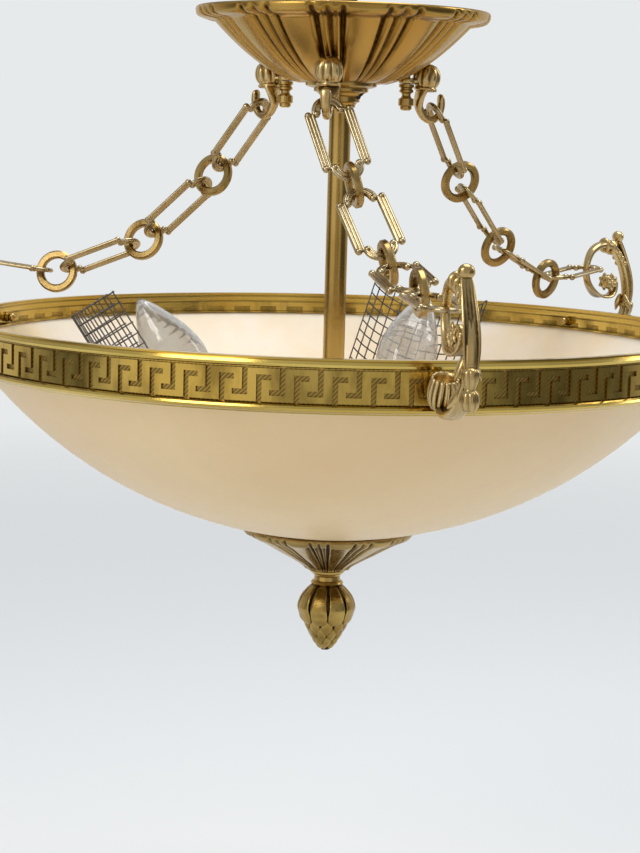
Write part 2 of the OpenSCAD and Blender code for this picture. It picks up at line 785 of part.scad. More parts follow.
// Foot of each lampholder, as radius and height, on the lamp's axis
foot_r = 43.6;
foot_z = hub_bottom + 15.6;
arm_d = 9;
arm_z = hub_bottom + 8;

module felt_washer() {
    color([0.86, 0.84, 0.78])
        translate([0, 0, felt_bottom])
            difference() {
                cylinder(h = felt_t, r = felt_r, $fn = 64);
                translate([0, 0, -1])
                    cylinder(h = felt_t + 2, d = rod_d + 0.6, $fn = 48);
            }
}
module clamp_plate() {
    color("silver")
        translate([0, 0, plate_bottom])
            difference() {
                cylinder(h = plate_t, r = felt_r, $fn = 64);
                translate([0, 0, -1])
                    cylinder(h = plate_t + 2, d = rod_d + 2 * run_gap, $fn = 48);
            }
}
module lamp_hub() {
    color(brass)
        difference() {
            translate([0, 0, hub_bottom])
                rotate_extrude($fn = 64)
                    polygon([[rod_d / 2 + run_gap, 0], [hub_d / 2, 0], [hub_d / 2, 16],
                        [hub_d / 2 - 4, hub_top - hub_bottom - 1.2],
                        [stem_d / 2 + 1, hub_top - hub_bottom - seat_gap],
                        [rod_d / 2 + run_gap, hub_top - hub_bottom - seat_gap]]);
            for (a = lamp_bearings)
                at_bearing(a)
                    translate([8, 0, arm_z])
                        rotate([0, 90, 0])
                            cylinder(h = 12, d = arm_d + 2 * run_gap, $fn = 32);
        }
}

// An arm leaves the hub level, turns up at a ball elbow and meets its lampholder square on
elbow_x = foot_r - (foot_z - arm_z) * tan(lamp_tilt);
arm_rise = (foot_z - arm_z) / cos(lamp_tilt);
module lamp_arms() {
    start = 10;
    color(brass)
        for (a = lamp_bearings)
            at_bearing(a)
                translate([0, 0, arm_z]) {
                    translate([start, 0, 0])
                        rotate([0, 90, 0])
                            cylinder(h = elbow_x - start, d = arm_d, $fn = 32);
                    translate([elbow_x, 0, 0]) {
                        sphere(d = arm_d + 2, $fn = 32);
                        rotate([0, lamp_tilt, 0])
                            cylinder(h = arm_rise, d = arm_d, $fn = 32);
                    }
                }
}

// Places a piece on a lamp's axis, with its foot at the lampholder's foot
module on_lamp(a) {
    at_bearing(a)
        translate([foot_r, 0, foot_z])
            rotate([0, lamp_tilt, 0])
                children();
}

module lampholders() {
    color("ivory")
        for (a = lamp_bearings)
            on_lamp(a)
                rotate_extrude($fn = 48)
                    polygon([[0, seat_gap], [8, seat_gap], [10.5, 3], [11, 14], [holder_d / 2 - 0.6, 15],
                        [holder_d / 2, 17], [holder_d / 2, holder_len - 3], [holder_d / 2 - 1, holder_len],
                        [cap_d / 2 + 0.4, holder_len], [cap_d / 2 + 0.4, cap_depth - 2],
                        [3, cap_depth - 2], [0, cap_depth - 2]]);
}

// Bulb outline above its cap, as radius and height shares of the glass
glass_len = bulb_len - 24;
bulb_start = cap_depth + 24;
function bulb_outline(inset) = [
    for (p = smooth([[6.4, 0], [7.4, 3], [9.6, 8], [13.4, 16], [16.4, 25], [17.5, 34], [16.8, 42],
            [14.4, 51], [10.6, 60], [6.6, 68], [3.4, 73], [0.01, 76]], 2))
        [max(p[0] * bulb_d / 35 - inset, 0), p[1] * glass_len / 76 + (p[1] > 40 ? -inset : 0)]
];
module bulb_glass(a) {
    wall = 1;
    color([0.80, 0.84, 0.86, 0.5])
        on_lamp(a)
            translate([0, 0, bulb_start])
                rotate_extrude($fn = 48)
                    polygon(concat(bulb_outline(0), [for (i = [22 : -1 : 0]) bulb_outline(wall)[i]]));
}
module bulb_cap(a) {
    color("silver")
        on_lamp(a)
            translate([0, 0, cap_depth])
                rotate_extrude($fn = 48)
                    polygon([[0, -1.6], [2.4, -1.6], [3, 0], [5.4, 0.8], [cap_d / 2, 2.6], [cap_d / 2, 20],
                        [cap_d / 2 - 0.8, 23.8], [5, 23.8], [5, 3], [0, 2.4]]);
}

// Square wire mesh, half a tube round the lamp's far side
mesh_wire = 0.8;
guard_turn = 150;
guard_low = 16.2;
guard_rows = 19;
// Crossing wires lie one over the other
wire_offset = mesh_wire / 2 + 0.01;
module mesh_guard(a, start) {
    step = 360 * mesh_pitch / (2 * PI * guard_r);
    columns = floor(guard_turn / step);
    high = (guard_rows - 1) * mesh_pitch;
    color([0.25, 0.24, 0.23])
        on_lamp(a) {
            for (i = [0 : columns])
                rotate([0, 0, start + i * step])
                    translate([guard_r + wire_offset, 0, guard_low - mesh_wire])
                        cylinder(h = high + 2 * mesh_wire, d = mesh_wire, $fn = 16);
            for (j = [0 : guard_rows - 1])
                translate([0, 0, guard_low + j * mesh_pitch])
                    rotate([0, 0, start - 1])
                        rotate_extrude(angle = columns * step + 2, $fn = 96)
                            translate([guard_r - wire_offset, 0])
                                circle(d = mesh_wire, $fn = 16);
        }
}
module left_mesh_guard() {
    mesh_guard(lamp_bearings[0], -60);
}
module back_mesh_guard() {
    mesh_guard(lamp_bearings[2], -50);
}

// Finial

// Outline of the cup from its rim down, as shares of the rim's radius and of the height
cup_profile = [[1, 0], [1.01, 0.1], [0.95, 0.18], [0.82, 0.3], [0.68, 0.46], [0.54, 0.62], [0.4, 0.78],
    [0.29, 0.92], [0.26, 1]];
function cup_radius(i) = cup_rim_r * cup_profile[i][0];
function cup_height(i) = cup_top - cup_h * cup_profile[i][1];
module finial_cup() {
    color(brass)
        difference() {
            skin([for (i = [0 : len(cup_profile) - 1])
                fluted(cup_radius(i), cup_height(i), i == 0 ? 0 : 0.9, cup_lobes, 0)]);
            translate([0, 0, ball_z])
                sphere(r = glass_r + seat_gap, $fn = 200);
            translate([0, 0, cup_top - 9])
                cylinder(h = 12, r = cup_rim_r * 0.55, $fn = 64);
            translate([0, 0, cup_bottom - 1])
                cylinder(h = cup_h + 4, d = rod_d + 2 * run_gap, $fn = 48);
        }
}

module neck_ring() {
    color(brass)
        translate([0, 0, neck_bottom])
            rotate_extrude($fn = 64)
                polygon([[rod_d / 2 + run_gap, seat_gap], [8.6, seat_gap], [9.2, 1.2], [8.6, 2.2], [7.4, 2.8],
                    [7.2, 5], [7.8, 5.6], [8.4, 6.6], [9.6, 7.4], [9.8, 8.4], [9.2, neck_h - seat_gap],
                    [rod_d / 2 + run_gap, neck_h - seat_gap]]);
}

// Pine cone: ribbed sepals above, crossing rows of scales below
widest = 0.32;
sepal_end = 0.56;
function cone_radius(s) = cone_d / 2 * (s < widest
    ? 0.62 + 0.38 * sin(90 * s / widest)
    : pow(1 - (s - widest) / (1 - widest), 0.58));
function cone_relief(s, a) = s < sepal_end
    ? 0.045 * cos(18 * a) + 0.02 * cos(9 * a)
    : 0.075 * abs(cos(4.5 * a + 520 * s)) * abs(cos(4.5 * a - 520 * s));
module pine_cone() {
    around = 36;
    rows = 24;
    color(brass)
        difference() {
            skin([for (i = [0 : rows])
                let (s = min(i / rows, 0.985))
                [for (j = [0 : around - 1])
                    let (a = 360 * j / around, r = cone_radius(s) * (1 + cone_relief(s, a)))
                    [r * sin(a), -r * cos(a), neck_bottom - cone_len * i / rows]
                ]
            ]);
            translate([0, 0, rod_bottom - 0.5])
                cylinder(h = neck_bottom - rod_bottom + 1, d = rod_d + 2 * run_gap, $fn = 48);
        }
}

hanging_loop();
loop_lock_nut();
threaded_rod();
stem_tube();
terminal_block();
brown_lead();
black_lead();
canopy();
canopy_collar();
collar_screw();
canopy_hooks();
hook_finial_nuts();
hook_inner_nuts();
hung_link(0, 0);  // front_link_1
hung_ring(0, 0);  // front_ring_1
hung_link(0, 1);  // front_link_2
hung_ring(0, 1);  // front_ring_2
hung_link(0, 2);  // front_link_3
hung_ring(0, 2);  // front_ring_3
hung_link(0, 3);  // front_link_4
hung_link(1, 0);  // right_link_1
hung_ring(1, 0);  // right_ring_1
hung_link(1, 1);  // right_link_2
hung_ring(1, 1);  // right_ring_2
hung_link(1, 2);  // right_link_3
hung_ring(1, 2);  // right_ring_3
hung_link(1, 3);  // right_link_4
hung_link(2, 0);  // left_link_1
hung_ring(2, 0);  // left_ring_1
hung_link(2, 1);  // left_link_2
hung_ring(2, 1);  // left_ring_2
hung_link(2, 2);  // left_link_3
hung_ring(2, 2);  // left_ring_3
hung_link(2, 3);  // left_link_4
bowl_band();
key_frieze();
glass_bowl();
front_bracket();
right_bracket();
left_bracket();
bracket_screws();
lamp_hub();
lamp_arms();
lampholders();
bulb_glass(lamp_bearings[0]);  // left_bulb_glass
bulb_cap(lamp_bearings[0]);  // left_bulb_cap
bulb_glass(lamp_bearings[2]);  // back_bulb_glass
bulb_cap(lamp_bearings[2]);  // back_bulb_cap
left_mesh_guard();
back_mesh_guard();
felt_washer();
clamp_plate();
finial_cup();
neck_ring();
pine_cone();
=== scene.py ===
import bpy
import bmesh
import math
import numpy as np
from mathutils import Matrix, Vector


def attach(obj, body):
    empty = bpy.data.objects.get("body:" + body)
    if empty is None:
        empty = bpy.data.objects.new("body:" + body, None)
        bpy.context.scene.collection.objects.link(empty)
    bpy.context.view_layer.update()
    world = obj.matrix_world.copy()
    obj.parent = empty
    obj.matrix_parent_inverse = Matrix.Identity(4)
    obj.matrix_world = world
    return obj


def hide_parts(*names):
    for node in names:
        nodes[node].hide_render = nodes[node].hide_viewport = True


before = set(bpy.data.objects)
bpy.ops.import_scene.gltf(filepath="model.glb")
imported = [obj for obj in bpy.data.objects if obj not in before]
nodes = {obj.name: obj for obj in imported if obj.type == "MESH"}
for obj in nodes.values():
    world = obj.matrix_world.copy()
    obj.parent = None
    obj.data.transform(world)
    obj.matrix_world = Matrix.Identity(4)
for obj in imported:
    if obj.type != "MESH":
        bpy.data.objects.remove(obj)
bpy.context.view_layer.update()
mm = 0.001
print("frame loaded,", len(nodes), "nodes")

scene = bpy.context.scene
scene.view_settings.view_transform = "Standard"

# Camera first

cameraValues = {
    "distance": 1144,      # mm from the stem
    "height": -88,         # mm above the loop's eye
    "pitch": 7.88,         # degrees down
    "yaw": 0.32,
    "roll": 1.6,
    "focalPixels": 2070,
    "framePixels": 853,
    "sensor": 36,
}


def makeCamera(v):
    data = bpy.data.cameras.new("photoCamera")
    data.sensor_width = v["sensor"]
    data.lens = v["focalPixels"] / v["framePixels"] * v["sensor"]
    data.clip_end = 20
    camera = bpy.data.objects.new("photoCamera", data)
    scene.collection.objects.link(camera)
    aim = (Matrix.Rotation(math.radians(v["yaw"]), 4, "Z")
           @ Matrix.Rotation(math.radians(90 - v["pitch"]), 4, "X")
           @ Matrix.Rotation(math.radians(v["roll"]), 4, "Z"))
    camera.matrix_world = Matrix.Translation(Vector((0, -v["distance"], v["height"])) * mm) @ aim
    scene.camera = camera


makeCamera(cameraValues)


# Node trees: one class for a tree, one for a socket that takes part in sums

class Flow:
    def __init__(self, graph, socket):
        self.graph = graph
        self.socket = socket

    def math(self, operation, a, b=0.0):
        return self.graph.out("ShaderNodeMath", {"operation": operation}, {0: a, 1: b})

    def __add__(self, other):
        return self.math("ADD", self, other)

    def __radd__(self, other):
        return self.math("ADD", other, self)

    def __sub__(self, other):
        return self.math("SUBTRACT", self, other)

    def __rsub__(self, other):
        return self.math("SUBTRACT", other, self)

    def __mul__(self, other):
        return self.math("MULTIPLY", self, other)

    def __rmul__(self, other):
        return self.math("MULTIPLY", other, self)

    def __truediv__(self, other):
        return self.math("DIVIDE", self, other)

    def __rtruediv__(self, other):
        return self.math("DIVIDE", other, self)

    def __pow__(self, other):
        return self.math("POWER", self, other)

    def __gt__(self, other):
        return self.math("GREATER_THAN", self, other)

    def __lt__(self, other):
        return self.math("LESS_THAN", self, other)

    def sin(self):
        return self.math("SINE", self)

    def abs(self):
        return self.math("ABSOLUTE", self)

    def fract(self):
        return self.math("FRACT", self)

    def most(self, other):
        return self.math("MAXIMUM", self, other)

    def least(self, other):
        return self.math("MINIMUM", self, other)

    def arctan2(self, other):
        return self.math("ARCTAN2", self, other)

    def ramp(self, low, high, a=0.0, b=1.0):      # straight run from a to b, held outside it
        return self.graph.out("ShaderNodeMapRange", {"clamp": True}, {
            "Value": self, "From Min": low, "From Max": high, "To Min": a, "To Max": b})


class Graph:
    def __init__(self, tree):
        self.tree = tree

    def add(self, kind, settings=None, sockets=None):
        node = self.tree.nodes.new(kind)
        for name, value in (settings or {}).items():
            if name == "stops":
                self.setStops(node.color_ramp, value)
            elif name == "bend":
                self.setBend(node.mapping.curves[0], value)
                node.mapping.update()
            else:
                setattr(node, name, value)
        for name, value in (sockets or {}).items():
            if isinstance(value, Flow):
                self.tree.links.new(value.socket, node.inputs[name])
            else:
                node.inputs[name].default_value = value
        return node

    def out(self, kind, settings=None, sockets=None, output=0):
        return Flow(self, self.add(kind, settings, sockets).outputs[output])

    def setStops(self, ramp, stops):
        while len(ramp.elements) < len(stops):
            ramp.elements.new(1.0)
        for element, (place, colour) in zip(ramp.elements, stops):
            element.position = place
            element.color = (*colour, 1.0)

    def setBend(self, curve, places):
        while len(curve.points) < len(places):
            curve.points.new(0.5, 0.5)
        for point, (x, y) in zip(curve.points, places):
            point.location = (x, y)
            point.handle_type = "AUTO"

    def mixColour(self, share, a, b):             # a at share 0, b at share 1
        node = self.add("ShaderNodeMix", {"data_type": "RGBA"})
        for socket, value in ((node.inputs[0], share), (node.inputs[6], a), (node.inputs[7], b)):
            if isinstance(value, Flow):
                self.tree.links.new(value.socket, socket)
            else:
                socket.default_value = value if socket.type == "VALUE" else (*value[:3], 1.0)
        return Flow(self, node.outputs[2])

    def split(self, vector):
        node = self.add("ShaderNodeSeparateXYZ", None, {0: vector})
        return [Flow(self, node.outputs[i]) for i in range(3)]

    def join(self, x, y, z):
        return self.out("ShaderNodeCombineXYZ", None, {0: x, 1: y, 2: z})

    def noise(self, place, scale, detail, roughness=0.5, distortion=0.0):
        return self.out("ShaderNodeTexNoise", None, {"Vector": place, "Scale": scale, "Detail": detail,
                                                     "Roughness": roughness, "Distortion": distortion}, "Fac")

    def named(self, label, kind):                 # attribute of the mesh that the tree runs on
        return self.out("GeometryNodeInputNamedAttribute", {"data_type": kind}, {"Name": label}, "Attribute")


# Meshes: surfaces gathered in mm

def smoothPath(stations, steps):
    s = np.asarray(stations, float)
    m = len(s) - 1
    rows = []
    for i in range(m):
        p0, p1, p2, p3 = s[max(i - 1, 0)], s[i], s[i + 1], s[min(i + 2, m)]
        for k in range(steps):
            t = k / steps
            rows.append(0.5 * (2 * p1 + (p2 - p0) * t + (2 * p0 - 5 * p1 + 4 * p2 - p3) * t * t
                               + (3 * p1 - p0 - 3 * p2 + p3) * t ** 3))
    rows.append(s[m])
    return np.array(rows)


class Clay:                                       # points, faces, and how deep each point lies in a hollow, which the metals darken with painted shade (raised places get a painted highlight)
    def __init__(self):
        self.points = []
        self.faces = []
        self.hollow = []

    def grid(self, rows, hollow=0.0, loop=False):
        rows = np.asarray(rows, float)
        m, n = rows.shape[:2]
        start = len(self.points)
        self.points += rows.reshape(-1, 3).tolist()
        self.hollow += np.broadcast_to(np.asarray(hollow, float), (m, n)).reshape(-1).tolist()
        for i in range(m if loop else m - 1):
            a, b = start + i * n, start + (i + 1) % m * n
            for j in range(n):
                k = (j + 1) % n
                self.faces.append((a + j, a + k, b + k, b + j))
        if not loop:
            self.faces.append(tuple(range(start + n - 1, start - 1, -1)))
            self.faces.append(tuple(range(start + (m - 1) * n, start + m * n)))

    # Turned body: outline of (radius, height, lobe depth) about local Z
    def lathe(self, outline, columns, turn=None, lobes=0):
        outline = np.asarray(outline, float)
        g = np.linspace(0, 2 * math.pi, columns, endpoint=False)
        wave = np.abs(np.cos(lobes * g / 2)) ** 0.7 - 1 if lobes else 0 * g
        radius = outline[:, :1] * (1 + outline[:, 2:3] * wave)
        height = np.repeat(outline[:, 1:2], columns, 1)
        rows = np.stack([radius * np.cos(g), radius * np.sin(g), height], -1)
        # lobe troughs marked deep for painted shade, crests negative for painted highlight
        self.grid(moved(rows, turn), -6 * outline[:, 2:3] * (wave + 0.25))

    # Cast strap: stations of (x, z, thickness, width, dip of the face, rib height) in local XZ
    def strap(self, stations, steps, columns=32, ribs=0):
        path = smoothPath(stations, steps)
        run = np.gradient(path[:, :2], axis=0)
        run /= np.linalg.norm(run, axis=1)[:, None]
        thickness, width, dip, rib = (path[:, k:k + 1] for k in (2, 3, 4, 5))
        g = np.linspace(0, 2 * math.pi, columns, endpoint=False)
        across, face = np.sin(g), np.cos(g)
        front = np.clip(face, 0, 1)
        wave = np.cos(ribs * math.pi * across) * front ** 0.4 if ribs else 0 * g
        rounded = np.sign(face) * np.abs(face) ** 0.75
        thick = thickness / 2 * (rounded - 1.5 * dip * front ** 1.3) + rib * wave
        wide = width / 2 * np.sign(across) * np.abs(across) ** 0.9
        rows = np.stack([path[:, :1] - run[:, 1:2] * thick, wide, path[:, 1:2] + run[:, :1] * thick], -1)
        # dipped face marked deep for painted shade; edges and rib crests negative for painted highlight
        hollow = dip * front * 1.2 - 0.3 * np.abs(across) ** 6 - rib * wave * 0.9
        self.grid(rows, hollow)

    def blob(self, centre, radii, columns, rows):  # rounded knob
        v = np.linspace(0.02, math.pi - 0.02, rows)
        g = np.linspace(0, 2 * math.pi, columns, endpoint=False)
        wide = np.sin(v)[:, None]
        body = np.stack([wide * np.cos(g) * radii[0], wide * np.sin(g) * radii[1],
                         np.repeat(np.cos(v)[:, None], columns, 1) * radii[2]], -1)
        self.grid(body + np.asarray(centre, float))

    def take(self, other, bearing):               # adds another clay's surface, turned round the stem
        start = len(self.points)
        self.points += atBearing(other.points, bearing).tolist()
        self.hollow += other.hollow
        self.faces += [tuple(i + start for i in face) for face in other.faces]

    def toMesh(self, name, bearings=(90,)):       # one copy at each bearing; 90 leaves local +X along +X
        mesh = bpy.data.meshes.new(name)
        points = np.concatenate([atBearing(self.points, b) for b in bearings]) * mm
        size = len(self.points)
        faces = [tuple(i + k * size for i in face) for k in range(len(bearings)) for face in self.faces]
        mesh.from_pydata(points.tolist(), [], faces)
        layer = mesh.attributes.new("hollow", "FLOAT", "POINT")
        layer.data.foreach_set("value", np.tile(np.array(self.hollow, np.float32), len(bearings)))
        solid = bmesh.new()
        solid.from_mesh(mesh)
        bmesh.ops.recalc_face_normals(solid, faces=solid.faces)
        solid.to_mesh(mesh)
        solid.free()
        mesh.polygons.foreach_set("use_smooth", [True] * len(mesh.polygons))
        return mesh


def moved(rows, turn):
    if turn is None:
        return rows
    return rows @ np.array(turn.to_3x3()).T + np.array(turn.translation)


def atBearing(rows, bearing):                     # local +X outward, to its place round the stem
    a = math.radians(bearing - 90)
    spin = np.array([[math.cos(a), -math.sin(a), 0], [math.sin(a), math.cos(a), 0], [0, 0, 1]])
    return np.asarray(rows) @ spin.T


def addPiece(name, mesh, body, material, slot, *replaced):
    piece = bpy.data.objects.new(name, mesh)
    scene.collection.objects.link(piece)
    mesh.name = name
    mesh.materials.clear()
    mesh.materials.append(material)
    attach(piece, body)
    if replaced:
        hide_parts(*replaced)


def grow(mesh, tree, values):                     # runs a tree on a mesh and gives the result as plain mesh
    holder = bpy.data.objects.new("holder", mesh)
    scene.collection.objects.link(holder)
    modifier = holder.modifiers.new("grow", "NODES")
    modifier.node_group = tree
    for item in tree.interface.items_tree:
        if item.item_type == "SOCKET" and item.in_out == "INPUT" and item.name in values:
            modifier[item.identifier] = values[item.name]
    bpy.context.view_layer.update()
    done = holder.evaluated_get(bpy.context.evaluated_depsgraph_get())
    result = bpy.data.meshes.new_from_object(done)
    holder.modifiers.remove(modifier)
    bpy.data.objects.remove(holder)
    return result


def newTree(name, inputs):
    tree = bpy.data.node_groups.new(name, "GeometryNodeTree")
    tree.interface.new_socket("Geometry", in_out="INPUT", socket_type="NodeSocketGeometry")
    for label, kind in inputs:
        tree.interface.new_socket(label, in_out="INPUT", socket_type="NodeSocket" + kind)
    tree.interface.new_socket("Geometry", in_out="OUTPUT", socket_type="NodeSocketGeometry")
    graph = Graph(tree)
    entry = graph.add("NodeGroupInput")
    return graph, {s.name: Flow(graph, s) for s in entry.outputs if s.name}


def closeTree(graph, geometry, material):
    real = graph.out("GeometryNodeRealizeInstances", None, {"Geometry": geometry})
    painted = graph.out("GeometryNodeSetMaterial", None, {"Geometry": real, "Material": material})
    graph.add("NodeGroupOutput", None, {"Geometry": painted})
    return graph.tree


# Materials

def newMaterial(name):
    material = bpy.data.materials.new(name)
    material.use_nodes = True
    material.node_tree.nodes.clear()
    return material, Graph(material.node_tree)


def closeMaterial(material, graph, sockets):
    shader = graph.out("ShaderNodeBsdfPrincipled", None, sockets)
    graph.add("ShaderNodeOutputMaterial", None, {"Surface": shader})
    return material


metalLook = {                                     # where the noises turn from one tone to the next
    "patches": (0.35, 0.68), "spots": (0.62, 0.78), "shadeAndDirt": (0.15, 0.85), "rubbedAndSheen": (0.1, 1.0),
    "open": (0.35, 0.85),                         # ambient openness over which hollows get painted shade
    "dirtRough": 0.25, "grainRough": 0.12, "bumpDepth": 0.0004,
}


def makeMetal(name, v):
    look = metalLook
    material, g = newMaterial(name)
    place = g.out("ShaderNodeTexCoord", output="Object")
    broad = g.noise(place, v["broad"], 3.0)
    fine = g.noise(place, v["fine"], 6.0, 0.65)
    # hollow attribute and ambient occlusion feed painted shade in hollows, creases and gaps, mixed with real
    # dirt
    hollow = g.out("ShaderNodeAttribute", {"attribute_name": "hollow"}, None, "Fac")
    openness = g.out("ShaderNodeAmbientOcclusion", {"samples": 4, "only_local": True},
                     {"Distance": v["reach"] * mm}, "AO")
    hollow = hollow + openness.ramp(*look["open"], v["shade"], 0.0)
    tone = g.mixColour(broad.ramp(*look["patches"]), v["deep"], v["colour"])
    tone = g.mixColour(fine.ramp(*look["spots"]) * v["spots"], tone, v["dark"])
    # painted shade and dirt: hollows darkened towards the dark colour, mottled by the fine noise
    shadeAndDirt = (hollow.ramp(*look["shadeAndDirt"]) * fine.ramp(0.2, 0.55, 0.6, 1.0)).least(1.0)
    tone = g.mixColour(shadeAndDirt * v["shadeAndDirt"], tone, v["dark"])
    # raised parts and edges lightened towards the bright colour: rubbed wear and painted highlight
    tone = g.mixColour((0 - hollow).ramp(*look["rubbedAndSheen"]) * v["rubbedAndSheen"], tone, v["bright"])
    rough = broad.ramp(0.3, 0.7, *v["rough"]) + shadeAndDirt * look["dirtRough"] + (fine - 0.5) * look["grainRough"]
    bump = g.out("ShaderNodeBump", None, {"Strength": v["bump"], "Distance": look["bumpDepth"], "Height": fine})
    return closeMaterial(material, g, {"Base Color": tone, "Metallic": 1.0, "Roughness": rough,
                                       "Normal": bump})


metalValues = {
    "satinBronze": {"colour": (0.47, 0.295, 0.075), "deep": (0.33, 0.195, 0.042), "dark": (0.05, 0.02, 0.004),
                    "bright": (0.62, 0.42, 0.14), "broad": 14, "fine": 420, "spots": 0.3, "shadeAndDirt": 0.97,
                    "rubbedAndSheen": 0.45, "rough": (0.2, 0.3), "bump": 0.1, "reach": 3.0, "shade": 0.6},
    "turnedBrass": {"colour": (0.52, 0.36, 0.12), "deep": (0.38, 0.25, 0.07), "dark": (0.08, 0.04, 0.01),
                    "bright": (0.78, 0.60, 0.28), "broad": 16, "fine": 380, "spots": 0.25, "shadeAndDirt": 0.9,
                    "rubbedAndSheen": 0.5, "rough": (0.16, 0.26), "bump": 0.08, "reach": 2.0, "shade": 0.8},
    "cupBrass": {"colour": (0.40, 0.275, 0.10), "deep": (0.27, 0.175, 0.055), "dark": (0.035, 0.016, 0.004),
                 "bright": (0.62, 0.46, 0.2), "broad": 20, "fine": 420, "spots": 0.4, "shadeAndDirt": 0.98,
                 "rubbedAndSheen": 0.3, "rough": (0.2, 0.3), "bump": 0.15, "reach": 5.0, "shade": 1.3},
    "castBrass": {"colour": (0.64, 0.475, 0.22), "deep": (0.46, 0.32, 0.13), "dark": (0.045, 0.025, 0.008),
                  "bright": (0.90, 0.78, 0.52), "broad": 30, "fine": 500, "spots": 0.5, "shadeAndDirt": 0.98,
                  "rubbedAndSheen": 0.8, "rough": (0.18, 0.3), "bump": 0.2, "reach": 3.0, "shade": 0.9},
    "chainBrass": {"colour": (0.52, 0.42, 0.25), "deep": (0.37, 0.28, 0.14), "dark": (0.05, 0.03, 0.012),
                   "bright": (0.80, 0.71, 0.50), "broad": 60, "fine": 600, "spots": 0.5, "shadeAndDirt": 0.98,
                   "rubbedAndSheen": 0.6, "rough": (0.16, 0.28), "bump": 0.15, "reach": 1.0, "shade": 1.3},
    "ringBrass": {"colour": (0.42, 0.29, 0.11), "deep": (0.27, 0.175, 0.055), "dark": (0.05, 0.027, 0.008),
                  "bright": (0.7, 0.54, 0.28), "broad": 70, "fine": 600, "spots": 0.4, "shadeAndDirt": 0.8,
                  "rubbedAndSheen": 0.5, "rough": (0.18, 0.3), "bump": 0.12, "reach": 1.6, "shade": 0.6},
    "zincSteel": {"colour": (0.55, 0.55, 0.53), "deep": (0.42, 0.42, 0.41), "dark": (0.2, 0.19, 0.17),
                  "bright": (0.7, 0.7, 0.68), "broad": 40, "fine": 300, "spots": 0.3, "shadeAndDirt": 0.5,
                  "rubbedAndSheen": 0.2, "rough": (0.32, 0.42), "bump": 0.1, "reach": 1.0, "shade": 0.4},
    "darkIron": {"colour": (0.07, 0.065, 0.06), "deep": (0.045, 0.04, 0.04), "dark": (0.12, 0.06, 0.03),
                 "bright": (0.2, 0.19, 0.18), "broad": 50, "fine": 260, "spots": 0.5, "shadeAndDirt": 0.5,
                 "rubbedAndSheen": 0.2, "rough": (0.42, 0.55), "bump": 0.3, "reach": 1.0, "shade": 0.3},
    "meshWire": {"colour": (0.17, 0.16, 0.15), "deep": (0.10, 0.095, 0.09), "dark": (0.06, 0.04, 0.025),
                 "bright": (0.4, 0.4, 0.38), "broad": 60, "fine": 500, "spots": 0.4, "shadeAndDirt": 0.5,
                 "rubbedAndSheen": 0.2, "rough": (0.36, 0.5), "bump": 0.1, "reach": 0.5, "shade": 0.3},
    "coneBrass": {"colour": (0.46, 0.32, 0.095), "deep": (0.32, 0.205, 0.052), "dark": (0.03, 0.014, 0.003),
                  "bright": (0.80, 0.64, 0.32), "broad": 90, "fine": 240, "spots": 0.45, "shadeAndDirt": 0.98,
                  "rubbedAndSheen": 0.7, "rough": (0.15, 0.26), "bump": 0.9, "reach": 3.0, "shade": 1.6},
    "bulbCap": {"colour": (0.68, 0.68, 0.66), "deep": (0.6, 0.6, 0.58), "dark": (0.3, 0.28, 0.25),
                "bright": (0.8, 0.8, 0.8), "broad": 40, "fine": 400, "spots": 0.1, "shadeAndDirt": 0.4,
                "rubbedAndSheen": 0.2, "rough": (0.22, 0.3), "bump": 0.05, "reach": 1.0, "shade": 0.3},
}
metals = {name: makeMetal(name, v) for name, v in metalValues.items()}

bandValues = {"colour": (0.68, 0.50, 0.14), "deep": (0.52, 0.36, 0.08), "dark": (0.15, 0.085, 0.015),
              "floor": (0.36, 0.25, 0.08), "patina": (0.20, 0.13, 0.03), "radius": 205.0,
              "floorRadius": 202.15, "wallRadius": 200.5, "friezeTop": -192.0, "friezeBottom": -208.2,
              "hatch": 1.1, "drag": 90.0,
              # faint back of the key and two grooves on the inner wall, darkened with painted shade
              "innerWall": 199.6, "units": 72, "backOfKey": (-204.5, -195.5), "grooves": (-189.0, -192.4)}


